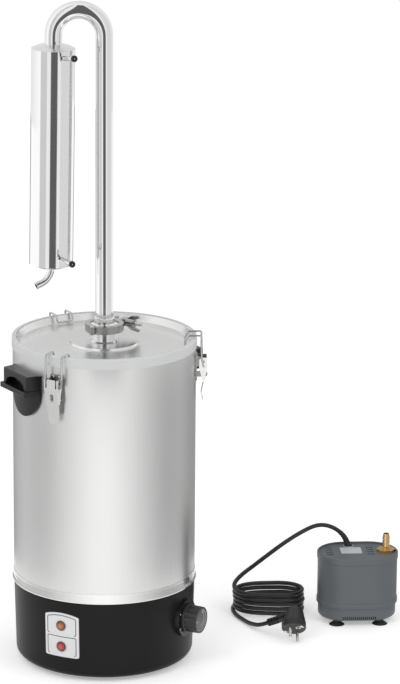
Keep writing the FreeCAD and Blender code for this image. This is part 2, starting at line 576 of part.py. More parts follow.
def make_lid():
    under = "(lid_sheet * 0.6)"
    disc_edge = "(disc_radius - disc_slope)"
    flat_edge = f"({rim_radius} - rim_slope)"
    node(turned("lid", [
        (neck_bore, f"{disc_top} - lid_sheet"), (neck_bore, disc_top), (disc_edge, disc_top),
        ("disc_radius", lid_top), (flat_edge, lid_top), (rim_radius, rim_top), (rim_edge, rim_top),
        (rim_edge, f"{rim_top} - lid_sheet"), (f"{rim_radius} + {under}", f"{rim_top} - lid_sheet"),
        (f"{flat_edge} + {under}", f"{lid_top} - lid_sheet"),
        ("disc_radius - lid_sheet", f"{lid_top} - lid_sheet"),
        (f"{disc_edge} - lid_sheet", f"{disc_top} - lid_sheet")],
        [(flat_edge, lid_top, "lid_sheet * 1.6"), (rim_radius, rim_top, "lid_sheet")]))

    outer = "(vessel_radius + seal_overhang)"
    step = f"({seal_inner} + lid_sheet)"
    node(turned("lid_seal", [
        ("vessel_radius + seal_gap", f"{vessel_top} - seal_drop"), (outer, f"{vessel_top} - seal_drop"),
        (outer, f"{rim_top} + seal_thickness"), (seal_inner, f"{rim_top} + seal_thickness"),
        (seal_inner, rim_top), (rim_edge, rim_top), (rim_edge, f"{rim_top} - lid_sheet"),
        (step, f"{rim_top} - lid_sheet"), (step, vessel_top), ("vessel_radius + seal_gap", vessel_top)],
        [(outer, f"{rim_top} + seal_thickness", "seal_round")]))

    node(turned("lid_neck", [
        (neck_bore, disc_top), ("neck_radius + neck_weld", disc_top),
        ("neck_radius", f"{disc_top} + neck_weld"),
        ("neck_radius", f"{lower_face} - ferrule_edge - {taper}"),
        ("ferrule_radius", f"{lower_face} - ferrule_edge"),
        ("ferrule_radius", lower_face), (neck_bore, lower_face)]))
    node(turned("ferrule_gasket", [
        (neck_bore, lower_face), ("ferrule_radius - gasket_inset", lower_face),
        ("ferrule_radius - gasket_inset", upper_face), (neck_bore, upper_face)]))


def make_clamp():
    """Two hinged halves drawn together by a swing bolt and a wing nut."""
    half_height = "clamp_height / 2"
    groove = "(ferrule_radius + clamp_gap)"
    rise = f"({upper_face} + ferrule_edge - {joint_level} + clamp_gap)"
    lip = f"({rise} + ({groove} - {clamp_inner}) * ferrule_slope)"
    turn = spun("clamp_azimuth - 180")
    seat = Placement(Vector(0, 0, value(joint_level)), turn)
    knuckle = value("knuckle_radius")
    half = value(half_height)
    third = half * 2 / 3
    inner = value(f"{clamp_outer} - hinge_pin_radius")

    def ring(name, flip):
        body = turned(name, [
            (clamp_outer, f"-{half_height}"), (clamp_outer, half_height), (clamp_inner, half_height),
            (clamp_inner, lip), (groove, rise), (groove, f"-{rise}"),
            (clamp_inner, f"-{lip}"), (clamp_inner, f"-{half_height}")],
            angle=180 - 2 * math.degrees(math.asin(value(f"clamp_split / 2 / {clamp_outer}"))))
        body.Placement = Placement(Vector(), Rotation(up, 180 if flip else 0))
        return body

    def prism(name, x, y, z, dx, dy, dz):
        piece = box(name, str(dx), str(dy), str(dz))
        piece.Placement = Placement(Vector(x, y, z), Rotation())
        return piece

    def post(name, radius, x, y, z, height):
        piece = cylinder(name, radius, str(height))
        piece.Placement = Placement(Vector(x, y, z), Rotation())
        return piece

    bolt, slot = value("ferrule_radius + bolt_offset"), value("ear_slot")
    ear_x, ear_dx = value("ear_start"), value("ear_thickness")
    eye_x, eye = -value("eye_offset"), value("eye_radius")
    hinge = -value("ferrule_radius + hinge_offset")
    gap, web, stand = value("knuckle_gap"), value("knuckle_web"), value("hinge_pin_stand")
    reach = bolt + eye - inner
    leaf = half - third / 2 - gap
    leaves = (-half, third / 2 + gap)

    ear = prism("ear_blank", ear_x, inner, -half, ear_dx, reach, 2 * half)
    ear_slot = prism("ear_slot_cut", ear_x - 1, bolt - slot - 1, -slot, ear_dx + 2, reach, 2 * slot)
    tongue = post("tongue", "knuckle_radius", 0, hinge, -third / 2, third)
    tongue_web = prism("tongue_web", 0, hinge, -third / 2, knuckle + web, knuckle + web, third)
    slotted = cut("front_ear", ear, ear_slot)
    front = fused("front_blank", ring("front_ring", False), slotted, tongue, tongue_web)
    front_cuts = [post(f"knuckle_room_{n}", "knuckle_radius + clamp_gap", 0, hinge, z, leaf)
                  for n, z in enumerate(leaves)]
    front_cuts.append(post("front_pin_hole", "hinge_pin_radius + fit_gap", 0, hinge, -half, 2 * half))
    piece = cut("clamp_front", front, *front_cuts)
    piece.Placement = seat
    node(piece)

    fork = prism("fork_blank", eye_x - eye, inner, -half, 2 * eye - 1, reach, 2 * half)
    fork_slot = prism("fork_slot_cut", eye_x - eye - 1, bolt - eye - 1.5, -slot, 2 * eye + 2, reach, 2 * slot)
    knuckles, webs = [], []
    for n, z in enumerate(leaves):
        knuckles.append(post(f"knuckle_{n}", "knuckle_radius", 0, hinge, z, leaf))
        webs.append(prism(f"knuckle_web_{n}", -knuckle - web, hinge, z, knuckle + web, knuckle + web, leaf))
    back = fused("back_blank", ring("back_ring", True), cut("back_fork", fork, fork_slot), *knuckles, *webs)
    holes = [post("back_pin_hole", "hinge_pin_radius", 0, hinge, -half, 2 * half),
             post("fork_pin_hole", "hinge_pin_radius", eye_x, bolt, -half, 2 * half),
             post("tongue_room", "knuckle_radius + clamp_gap", 0, hinge, -third / 2, third)]
    piece = cut("clamp_back", back, *holes)
    piece.Placement = seat
    node(piece)

    low, tall = -half - stand, 2 * (half + stand)
    pins = grouped("clamp_pins", post("hinge_pin", "hinge_pin_radius", 0, hinge, low, tall),
                   post("fork_pin", "hinge_pin_radius", eye_x, bolt, low, tall))
    pins.Placement = seat
    node(pins)

    eye_ring = post("eye_ring", "eye_radius", eye_x, bolt, gap - slot, 2 * (slot - gap))
    shank = cylinder("bolt_shank", "bolt_radius", "bolt_length + eye_offset")
    shank.Placement = Placement(Vector(eye_x, bolt, 0), Rotation(Vector(0, 1, 0), 90))
    eye_hole = post("eye_hole", "hinge_pin_radius + fit_gap", eye_x, bolt, -half, 2 * half)
    piece = cut("clamp_bolt", fused("bolt_blank", eye_ring, shank), eye_hole)
    piece.Placement = seat
    node(piece)

    start = ear_x + ear_dx + value("nut_gap")
    hub = cylinder("nut_hub", "nut_radius", "nut_length")
    hub.Placement = Placement(Vector(start, bolt, 0), Rotation(Vector(0, 1, 0), 90))
    nut, span, forward = value("nut_radius"), value("wing_span"), value("wing_reach")
    length, thick = value("nut_length"), value("wing_thickness")
    wings = []
    for n, side in enumerate((1, -1)):
        outline = [Vector(start + 3, bolt, 0), Vector(start + 4, bolt, side * nut),
                   Vector(start + length * 0.7, bolt, side * (nut + 4)),
                   Vector(start + length + forward * 0.8, bolt, side * span),
                   Vector(start + length + forward, bolt, side * (span - 3)),
                   Vector(start + length, bolt, side * (nut - 1)), Vector(start + length - 1, bolt, 0)]
        blank = Part.Face(polygon(outline)).extrude(Vector(0, thick, 0))
        blank.translate(Vector(0, -thick / 2, 0))
        wings.append(formed(f"wing_{n}", blank))
    bore = cylinder("nut_bore", "bolt_radius + fit_gap", "nut_length + 2 * wing_reach")
    bore.Placement = Placement(Vector(start - 1, bolt, 0), Rotation(Vector(0, 1, 0), 90))
    piece = cut("wing_nut", fused("nut_blank", hub, *wings), bore)
    piece.Placement = seat
    node(piece)


def make_riser():
    ferrule = turned("riser_ferrule", [
        ("riser_radius", upper_face), ("ferrule_radius", upper_face),
        ("ferrule_radius", f"{upper_face} + ferrule_edge"),
        ("neck_radius", sleeve_foot), (sleeve_radius, f"{sleeve_foot} + sleeve_height * 0.2"),
        (sleeve_radius, f"{sleeve_top} - sleeve_wall / 3"),
        (f"{sleeve_radius} - sleeve_wall / 3", sleeve_top), ("riser_radius", sleeve_top)])
    node(ferrule)

    bore = "(riser_radius - riser_wall)"
    solids = []
    for part, radius in (("outer", "riser_radius"), ("inner", bore)):
        leg = cylinder(f"riser_leg_{part}", radius, f"{bend_level} - {upper_face}", ("0", "0", upper_face))
        bend = primitive("Torus", f"riser_bend_{part}", {"Radius1": "bend_radius", "Radius2": radius},
                         ("-bend_radius", "0", bend_level), Rotation(Vector(1, 0, 0), 90))
        bend.setExpression("Angle3", bound("180 - condenser_lean"))
        down = cylinder(f"riser_down_{part}", radius, "down_length")
        down.Placement = condenser_frame() * Placement(
            Vector(-value("bend_radius"), 0, -value("down_length")), Rotation())
        solids.append(fused(f"riser_{part}", leg, bend, down))
    node(cut("riser_tube", *solids))


def condenser_frame():
    """The leaning frame of the condenser, with its origin in the middle of the bend."""
    return Placement(Vector(-value("bend_radius"), 0, value(bend_level)),
                     Rotation(Vector(0, 1, 0), value("condenser_lean")))


def make_condenser():
    axis = condenser_frame() * Placement(Vector(-value("bend_radius"), 0, 0), Rotation())
    shoulder = "-(down_length + cap_height - down_seat)"
    foot = f"({shoulder} - jacket_length)"
    drain_top = f"({foot} - bottom_cap_height * 0.6)"
    bore = "(jacket_radius - jacket_wall)"

    def seated(piece):
        piece.Placement = axis
        return node(piece)

    cap_top = f"({shoulder} + cap_height)"
    seated(turned("condenser_top_cap", [
        ("riser_radius", f"{cap_top} - cap_sheet * 2"), ("riser_radius", f"{cap_top} + cap_sheet"),
        ("riser_radius + cap_sheet * 2", cap_top),
        ("jacket_radius - cap_brim", f"{shoulder} + cap_height * 0.62"),
        ("jacket_radius", shoulder), (bore, shoulder),
        ("jacket_radius - cap_brim - cap_sheet", f"{shoulder} + cap_height * 0.4")]))

    jacket = turned("jacket_wall_body", [
        (bore, foot), ("jacket_radius", foot), ("jacket_radius", shoulder), (bore, shoulder)])
    low = f"({foot} + stub_low)"
    high = f"({shoulder} - stub_high)"
    stubs = stub_shapes(low, high)
    holes = [formed(f"stub_hole_{n}", outer) for n, (outer, _, _) in enumerate(stubs)]
    seated(cut("condenser_jacket", jacket, *holes))

    seated(turned("condenser_bottom_cap", [
        ("spout_radius", f"{foot} - bottom_cap_height"),
        ("jacket_radius - bottom_cap_brim", f"{foot} - bottom_cap_height * 0.8"),
        ("jacket_radius", foot), (bore, foot),
        ("jacket_radius - bottom_cap_brim - cap_sheet", f"{foot} - bottom_cap_height * 0.5"),
        ("spout_radius", drain_top)]))

    sheets, tubes, bores = [], [], []
    upper = f"({shoulder} - sheet_setback)"
    lower = f"({foot} + sheet_setback - sheet_thickness)"
    for n, level in enumerate((f"{upper} - sheet_thickness", lower)):
        sheets.append(cylinder(f"tube_sheet_{n}", bore, "sheet_thickness", ("0", "0", level)))
    outer = Vector(value("bundle_radius"), 0, 0)
    spots = [Vector()] + [Rotation(up, 60 * n).multVec(outer) for n in range(6)]
    run = f"({upper} - {lower} + tube_stand * 2)"
    for n, spot in enumerate(spots):
        for group, radius in ((tubes, "vapour_tube_radius"),
                              (bores, "vapour_tube_radius - vapour_tube_wall")):
            tube = cylinder(f"vapour_tube_{n}_{len(group)}", radius, run)
            tube.Placement = Placement(Vector(spot.x, spot.y, value(f"{lower} - tube_stand")), Rotation())
            group.append(tube)
    seated(cut("condenser_tubes", fused("tube_bundle", *sheets, *tubes), *bores))

    for label, (outer, inner, trim) in zip(("water_inlet_stub", "water_outlet_stub"), stubs):
        seated(formed(label, outer.cut(inner).cut(trim)))

    drop, turn, tail = value("spout_drop"), math.radians(value("spout_turn")), value("spout_tail")
    bend = value("spout_bend")
    top = Vector(0, 0, value(drain_top))
    first = top - Vector(0, 0, drop)
    start = Vector(0, -bend, first.z)
    middle = start + Vector(0, bend * math.cos(turn / 2), -bend * math.sin(turn / 2))
    last = start + Vector(0, bend * math.cos(turn), -bend * math.sin(turn))
    ahead = Vector(0, -math.sin(turn), -math.cos(turn))
    path = Part.Wire([Part.LineSegment(top, first).toShape(), Part.Arc(first, middle, last).toShape(),
                      Part.LineSegment(last, last + ahead * tail).toShape()])
    spout = swept(path, value("spout_radius")).cut(swept(path, value("spout_bore")))
    node(formed("distillate_spout", spout, axis * Placement(Vector(), spun("spout_azimuth"))))


def stub_shapes(low, high):
    """Outer bar with its collar, bore and inside trim of the water stubs, in the condenser's frame."""
    shapes = []
    trim = Part.makeCylinder(value("jacket_radius - jacket_wall"), value("jacket_length"),
                             Vector(0, 0, value(low) - value("stub_low")))
    for level, rise in ((low, 0), (high, value("stub_rise"))):
        azimuth = math.radians(value("stub_azimuth"))
        tilt = math.radians(rise)
        level_run = math.cos(tilt)
        ahead = Vector(math.sin(azimuth) * level_run, -math.cos(azimuth) * level_run, math.sin(tilt))
        reach = value("stub_reach")
        start = Vector(0, 0, value(level))
        collar = Part.makeCylinder(value("stub_radius + stub_collar"),
                                   value("jacket_radius + stub_collar_reach"), start, ahead)
        outer = Part.makeCylinder(value("stub_radius"), reach, start, ahead).fuse(collar)
        inner = Part.makeCylinder(value("stub_bore"), reach, start, ahead)
        shapes.append((outer, inner, trim))
    return shapes


def make_latches():
    """Three toggle latches: a base with ears, a lever on its pivot and a wire bail on the lever."""
    wall, sheet_gap = value("vessel_radius"), value("latch_sheet")
    pivot = Vector(0, 0, wall + value("pivot_reach"))
    angle = math.radians(value("crank_angle"))
    crank = pivot + Vector(0, math.sin(angle), math.cos(angle)) * value("crank_radius")

    def side_plate(points, x, thickness):
        face = Part.Face(polygon([Vector(x, y, r) for r, y in points]))
        return face.extrude(Vector(thickness, 0, 0))

    def cross_pin(centre, radius, half):
        return Part.makeCylinder(radius, 2 * half, Vector(-half, centre.y, centre.z), Vector(1, 0, 0))

    plate_half = value("latch_plate_width") / 2
    plate_low, plate_high = value("latch_plate_bottom"), value("latch_plate_top")
    tall, foot = plate_high - plate_low, Vector(0, plate_low, 0)
    ring = Part.makeCylinder(wall + sheet_gap, tall, foot, Vector(0, 1, 0))
    ring = ring.cut(Part.makeCylinder(wall, tall, foot, Vector(0, 1, 0)))
    blank = Part.makeBox(2 * plate_half, tall, wall, Vector(-plate_half, plate_low, wall / 2))
    base = ring.common(blank)
    ear_outer, ear = value("ear_outer"), value("latch_ear")
    ear_round, ear_root = value("ear_round"), value("ear_root")
    seat = wall + sheet_gap / 2
    for x in (ear_outer - ear, -ear_outer):
        base = base.fuse(side_plate([(seat, -ear_root), (pivot.z, -ear_round), (pivot.z, ear_round),
                                     (seat, ear_root)], x, ear))
        base = base.fuse(Part.makeCylinder(ear_round, ear, Vector(x, 0, pivot.z), Vector(1, 0, 0)))
    staple_y, staple_reach = value("staple_y"), wall + value("staple_reach")
    tall, thin = value("staple_height") / 2, value("staple_half")
    staple = side_plate([(seat, staple_y - tall), (staple_reach - tall, staple_y - tall),
                         (staple_reach - tall, staple_y + tall), (seat, staple_y + tall)], -thin, 2 * thin)
    nose = Vector(-thin, staple_y, staple_reach - tall)
    staple = staple.fuse(Part.makeCylinder(tall, 2 * thin, nose, Vector(1, 0, 0)))
    staple = staple.cut(Part.makeCylinder(value("staple_hole"), 2 * thin, nose, Vector(1, 0, 0)))
    base = base.fuse(staple).fuse(cross_pin(pivot, value("pivot_radius"), value("lever_half + fit_gap * 2")))
    base = base.removeSplitter()

    reach, low_reach, tip_reach = (wall + value(name) for name in ("lever_reach", "lever_low_reach",
                                                                   "lever_tip_reach"))
    top, knee, low, tip = value("lever_top"), value("lever_knee"), value("lever_low"), value("lever_tip")
    half, tip_half = value("lever_half"), value("lever_tip_half")
    profile = [(reach, top), (reach, knee), (low_reach, low), (tip_reach, tip),
               (tip_reach + sheet_gap, tip), (low_reach + sheet_gap, low), (reach + sheet_gap, knee),
               (reach + sheet_gap, top)]
    face = side_plate(profile, -half, 2 * half)
    front = [Vector(-half, top, 0), Vector(half, top, 0), Vector(half, knee, 0),
             Vector(tip_half, tip + tip_half, 0)]
    edges = [Part.LineSegment(a, b).toShape() for a, b in zip(front, front[1:])]
    edges.append(Part.Arc(front[-1], Vector(0, tip, 0), Vector(-tip_half, tip + tip_half, 0)).toShape())
    edges.append(Part.LineSegment(Vector(-tip_half, tip + tip_half, 0), Vector(-half, knee, 0)).toShape())
    edges.append(Part.LineSegment(Vector(-half, knee, 0), front[0]).toShape())
    trim = Part.Face(Part.Wire(edges)).extrude(Vector(0, 0, 2 * reach))
    lever = face.common(trim)
    corner, tail, end = value("flange_corner"), value("flange_tail"), value("flange_end")
    root = reach + sheet_gap / 4
    inner_edge = root - value("flange_depth")
    flange = [(root, top), (inner_edge + corner, top), (inner_edge, top - corner), (inner_edge, knee),
              (low_reach + tail, end), (low_reach + tail + sheet_gap * 1.5, end), (root, knee)]
    for x in (-half, half - sheet_gap):
        lever = lever.fuse(side_plate(flange, x, sheet_gap))
    slot_half, slot_high, slot_low = value("slot_half"), value("slot_high"), value("slot_low")
    slot = Part.makeBox(2 * slot_half, slot_high - slot_low - 2 * slot_half, reach,
                        Vector(-slot_half, slot_low + slot_half, wall))
    for y in (slot_high - slot_half, slot_low + slot_half):
        slot = slot.fuse(Part.makeCylinder(slot_half, reach, Vector(0, y, wall), up))
    room, room_foot = value("ear_room"), value("ear_room_foot")
    for x in (ear_outer - ear, -ear_outer):
        slot = slot.fuse(Part.makeBox(ear + 2 * room, reach, reach, Vector(x - room, room_foot, wall)))
    lever = lever.cut(slot).cut(cross_pin(pivot, value("pivot_radius + fit_gap"), half * 2))
    lever = lever.cut(cross_pin(crank, value("wire_radius + fit_gap"), half * 2)).removeSplitter()

    bail_half, bail_end, bail_knee, bail_top, hook_tip = (value(name) for name in (
        "bail_half", "bail_end", "bail_knee", "bail_top", "hook_tip"))
    bail_reach, hook, hook_end = (wall + value(name) for name in (
        "bail_reach", "hook_reach", "hook_tip_reach"))
    side = [Vector(bail_end, crank.y, crank.z), Vector(bail_half, crank.y, crank.z),
            Vector(bail_half, bail_knee, bail_reach), Vector(bail_half, bail_top, bail_reach),
            Vector(bail_half, bail_top, hook), Vector(bail_half, hook_tip, hook_end)]
    points = side + [Vector(-p.x, p.y, p.z) for p in reversed(side)]
    path = bent_path(points, [value("bail_bend")] * (len(points) - 2))
    bail = swept(path, value("wire_radius"))

    for n in range(3):
        azimuth = f"latch_azimuth + {120 * n}"
        seat = Placement(Vector(0, 0, value(latch_level)), facing(azimuth))
        for label, shape in (("latch_base", base), ("latch_lever", lever), ("latch_bail", bail)):
            node(formed(f"{label}_{n + 1}", shape.copy(), seat))


def make_handles():
    """Moulded handle: a pad on the wall, a hood with a finger recess and a lip under it."""
    wall, half, height = value("vessel_radius"), value("handle_half"), value("handle_height")
    top = value(handle_top)
    foot = top - height
    shoulder = foot + half
    corners = [Vector(-half, 0, shoulder), Vector(-half, 0, top), Vector(half, 0, top),
               Vector(half, 0, shoulder)]
    edges = [Part.LineSegment(a, b).toShape() for a, b in zip(corners, corners[1:])]
    edges.append(Part.Arc(corners[3], Vector(0, 0, foot), corners[0]).toShape())
    outline = Part.Face(Part.Wire(edges)).extrude(Vector(0, -2 * wall, 0))
    pad = outline.common(Part.makeCylinder(wall + value("pad_thickness"), height, Vector(0, 0, foot)))
    core = Part.makeCylinder(wall, height * 2, Vector(0, 0, foot - height / 2))
    root = math.sqrt(wall ** 2 - half ** 2) - value("handle_root")

    def slab(reach, front_half, low, high):
        front = -wall - value(reach)
        points = [Vector(-half, -root, low), Vector(-value(front_half), front, low),
                  Vector(value(front_half), front, low), Vector(half, -root, low)]
        block = Part.Face(polygon(points)).extrude(Vector(0, 0, high - low))
        outer = [edge for edge in block.Edges if abs(edge.BoundBox.YMin - front) < 1e-3
                 and abs(edge.BoundBox.YMax - front) < 1e-3]
        return block.makeFillet(value("handle_round"), outer)

    low = top - value("hood_height")
    lip_top = low + value("lip_thickness")
    hood = slab("hood_reach", "hood_half", low, top).fuse(slab("lip_reach", "lip_half", low, lip_top))
    recess, shoulder_half, back = value("recess_half"), value("recess_shoulder"), wall + value("recess_reach")
    arch_top = top - value("recess_top")
    spring = arch_top - value("recess_arch")
    mouth = [Vector(x, -back, z) for x, z in (
        (-recess, lip_top), (-shoulder_half, spring), (0, arch_top), (shoulder_half, spring),
        (recess, lip_top))]
    edges = [Part.LineSegment(mouth[0], mouth[1]).toShape(), Part.Arc(*mouth[1:4]).toShape(),
             Part.LineSegment(mouth[3], mouth[4]).toShape(), Part.LineSegment(mouth[4], mouth[0]).toShape()]
    opening = Part.Face(Part.Wire(edges)).extrude(Vector(0, -half, 0))
    handle = pad.fuse(hood.cut(opening)).cut(core).removeSplitter()
    for label, turn in (("handle_left", 0), ("handle_right", 180)):
        node(formed(label, handle.copy(), Placement(Vector(), Rotation(up, value("handle_azimuth") + turn))))

    screws = []
    level = top - value("hood_height") / 2
    for turn in (0, 180):
        for side in (-1, 1):
            spot = Vector(side * value("screw_spread"), -back, level)
            head = Part.makeCylinder(value("screw_radius"), value("screw_height"), spot, Vector(0, -1, 0))
            head.rotate(Vector(), up, value("handle_azimuth") + turn)
            screws.append(head)
    node(formed("handle_screws", Part.makeCompound(screws)))


def stadium_block(length, depth, low, high):
    """A block with two straight sides and two round ends, about Z."""
    straight, radius = (length - depth) / 2, depth / 2
    corners = [Vector(-straight, -radius, low), Vector(straight, -radius, low), Vector(straight, radius, low),
               Vector(-straight, radius, low)]
    edges = [Part.LineSegment(corners[0], corners[1]).toShape(),
             Part.Arc(corners[1], Vector(length / 2, 0, low), corners[2]).toShape(),
             Part.LineSegment(corners[2], corners[3]).toShape(),
             Part.Arc(corners[3], Vector(-length / 2, 0, low), corners[0]).toShape()]
    return Part.Face(Part.Wire(edges)).extrude(Vector(0, 0, high - low))


def pump_seat():
    return Placement(Vector(value("pump_x"), value("pump_y"), 0), Rotation(up, value("pump_yaw")))


def pump_block(inset, low, high):
    """The pump's outline between two levels, inset from its bead."""
    return stadium_block(value("pump_length") - 2 * inset, value("pump_depth") - 2 * inset, low, high)


def make_pump():
    """Moulded housing with a slotted deck, a base with a grille, suction feet and a brass hose nipple."""
    seat, gap, wall = pump_seat(), value("fit_gap"), value("pump_wall")
    bottom, split, top = value("pump_bottom"), value("pump_split"), value("pump_top")
    deck_top = value("pump_top - deck_drop")
    deck_foot = deck_top - value("deck_thickness")

    band_foot = top - value("band_height")
    bead_top = split + value("bead_height")
    shell = softened(pump_block(0, band_foot, top), (band_foot, top), value("bead_round"))
    shell = shell.fuse(softened(pump_block(0, split, bead_top), (bead_top,), value("bead_round")))
    shell = shell.fuse(pump_block(value("pump_bead"), split + wall, top - wall))
    shell = shell.cut(pump_block(wall, deck_foot, top))
    shell = shell.cut(pump_block(wall + value("deck_ledge"), split, top))
    node(formed("pump_housing", shell.removeSplitter(), seat))

    deck = pump_block(wall + gap, deck_foot, deck_top)
    length, width, pitch = value("slot_length"), value("slot_width"), value("slot_pitch")
    rows = int(value("slot_rows"))
    thick = value("deck_thickness * 2")
    for middle in (value("slot_left"), value("slot_right")):
        for n in range(rows):
            y = value("slot_middle") + (n - (rows - 1) / 2) * pitch
            corner = Vector(middle - length / 2, y - width / 2, deck_foot - thick / 2)
            deck = deck.cut(Part.makeBox(length, width, thick * 2, corner))
    gland_at = Vector(value("gland_dx"), value("gland_dy"), deck_foot - thick / 2)
    nipple_at = Vector(value("nipple_dx"), value("nipple_dy"), deck_foot - thick / 2)
    deck = deck.cut(Part.makeCylinder(value("gland_stem"), thick * 2, gland_at))
    deck = deck.cut(Part.makeCylinder(value("nipple_radius") + gap, thick * 2, nipple_at))
    node(formed("pump_deck", deck, seat))

    base_wall = value("pump_base_wall")
    inset = value("pump_bead + base_inset")
    lower = softened(pump_block(inset, bottom, split), (bottom,), value("base_round"))
    lower = lower.cut(pump_block(inset + base_wall, bottom + base_wall, split))
    width, pitch, count = value("grille_width"), value("grille_pitch"), int(value("grille_count"))
    for n in range(count):
        corner = Vector((n - (count - 1) / 2) * pitch - width / 2, -value("pump_depth") / 2, 0)
        lower = lower.cut(Part.makeBox(width, value("grille_depth"), value("grille_top"), corner))
    node(formed("pump_base", lower, seat))

    cups = []
    across, along = value("pump_length / 2 - cup_inset_x"), value("pump_depth / 2 - cup_inset_y")
    for x in (-1, 1):
        for y in (-1, 1):
            centre = Vector(x * across, y * along, 0)
            cup = Part.makeCone(value("cup_radius"), value("cup_neck"), value("cup_rise"), centre)
            cups.append(cup.fuse(Part.makeCylinder(value("cup_neck"), bottom, centre)))
    node(formed("pump_feet", Part.makeCompound(cups), seat))

    make_nipple(deck_top, deck_foot)
    make_motor(bottom + base_wall)
    make_gland(deck_top, deck_foot)


def make_nipple(deck_top, deck_foot):
    """Brass hose nipple: a hexagon on the deck and a stem with barbs."""
    radius, bore, rise = value("nipple_radius"), value("nipple_bore"), value("barb_rise")
    across = value("hex_across") / math.sqrt(3)
    corners = [Rotation(up, 60 * n).multVec(Vector(across, 0, 0)) for n in range(6)]
    hexagon = Part.Face(polygon(corners)).extrude(Vector(0, 0, value("hex_height")))
    hexagon.translate(Vector(0, 0, deck_top))
    tip = deck_top + value("hex_height + nipple_height")
    root = deck_foot - value("nipple_root")
    start, pitch = tip - value("barb_start"), value("barb_pitch")
    outline = [Vector(bore, 0, root), Vector(radius, 0, root), Vector(radius, 0, start)]
    for n in range(int(value("barb_count"))):
        outline.append(Vector(radius + rise, 0, start + n * pitch))
        outline.append(Vector(radius - rise / 4, 0, start + (n + 0.98) * pitch))
    outline += [Vector(radius - rise, 0, tip), Vector(bore, 0, tip)]
    stem = Part.Face(polygon(outline)).revolve(Vector(), up, 360)
    hexagon = hexagon.cut(Part.makeCylinder(radius - rise / 2, tip, Vector()))
    place_here = pump_seat() * Placement(Vector(value("nipple_dx"), value("nipple_dy"), 0), Rotation())
    node(formed("hose_nipple", hexagon.fuse(stem).removeSplitter(), place_here))


def make_motor(motor_foot):
    """Sealed motor block with the pump chamber at its end, and the rotor with its vanes on an axle."""
    length, depth, height = value("motor_length"), value("motor_depth"), value("motor_height")
    start, level, ahead = value("motor_shift"), motor_foot + height / 2, Vector(1, 0, 0)
    end = start + length
    rotor, axle, blind = value("rotor_radius"), value("axle_radius"), value("motor_end")
    chamber_length, plate = value("chamber_length"), value("chamber_wall")

    def bar(radius, from_x, run):
        return Part.makeCylinder(radius, run, Vector(from_x, 0, level), ahead)

    motor = Part.makeBox(length, depth, height, Vector(start, -depth / 2, motor_foot))
    motor = motor.cut(bar(rotor + value("rotor_gap"), start + blind, length))
    seat = value("axle_seat")
    motor = motor.fuse(bar(axle, start + seat, length + chamber_length - seat))
    foot = value("chamber_foot")
    chamber = bar(value("chamber_radius"), end, chamber_length).fuse(
        Part.makeBox(chamber_length, foot, foot / 2, Vector(end, -foot / 2, motor_foot)))
    chamber = chamber.cut(bar(value("chamber_bore"), end, chamber_length - plate))
    chamber = chamber.fuse(bar(axle, end, chamber_length))
    node(formed("pump_motor", motor.fuse(chamber).removeSplitter(), pump_seat()))

    gap, thick = value("rotor_gap"), value("blade_thickness")
    wheel = bar(rotor, start + blind + gap, length - blind - gap).fuse(
        bar(value("hub_radius"), end, value("hub_length")))
    width, hub = value("blade_width"), value("hub_radius") - gap
    for n in range(int(value("blade_count"))):
        blade = Part.makeBox(width, value("blade_reach") - hub, thick,
                             Vector(end + thick, hub, level - thick / 2))
        blade.rotate(Vector(0, 0, level), ahead, 360 * n / value("blade_count"))
        wheel = wheel.fuse(blade)
    wheel = wheel.cut(bar(axle + value("shaft_gap"), start, length + chamber_length))
    node(formed("pump_impeller", wheel.removeSplitter(), pump_seat()))


def gland_frame():
    """The gland's root on the deck and the direction in which the cord leaves it."""
    tilt = math.radians(value("gland_tilt"))
    return (Vector(value("gland_dx"), value("gland_dy"), value("pump_top - deck_drop")),
            Vector(-math.sin(tilt), 0, math.cos(tilt)))


def make_gland(deck_top, deck_foot):
    root, lean = gland_frame()
    radius, height = value("gland_radius"), value("gland_height")
    gland = Part.makeCone(radius, value("cord_radius + gland_lip"), height, root, lean)
    collar = radius + value("gland_collar")
    below = Part.makeBox(4 * collar, 4 * collar, 2 * collar, root - Vector(1, 1, 1) * 2 * collar)
    gland = gland.fuse(Part.makeCylinder(collar, value("gland_collar_height"), root)).cut(below)
    stem_foot = 2 * deck_foot - deck_top
    stem = Part.makeCylinder(value("gland_stem"), deck_top - stem_foot, Vector(root.x, root.y, stem_foot))
    node(formed("cord_gland", gland.fuse(stem).removeSplitter(), pump_seat()))


def plug_seat():
    turn = Rotation(value("plug_yaw"), value("plug_pitch"), value("plug_roll"))
    return Placement(Vector(value("plug_x"), value("plug_y"), value("plug_z")), turn)


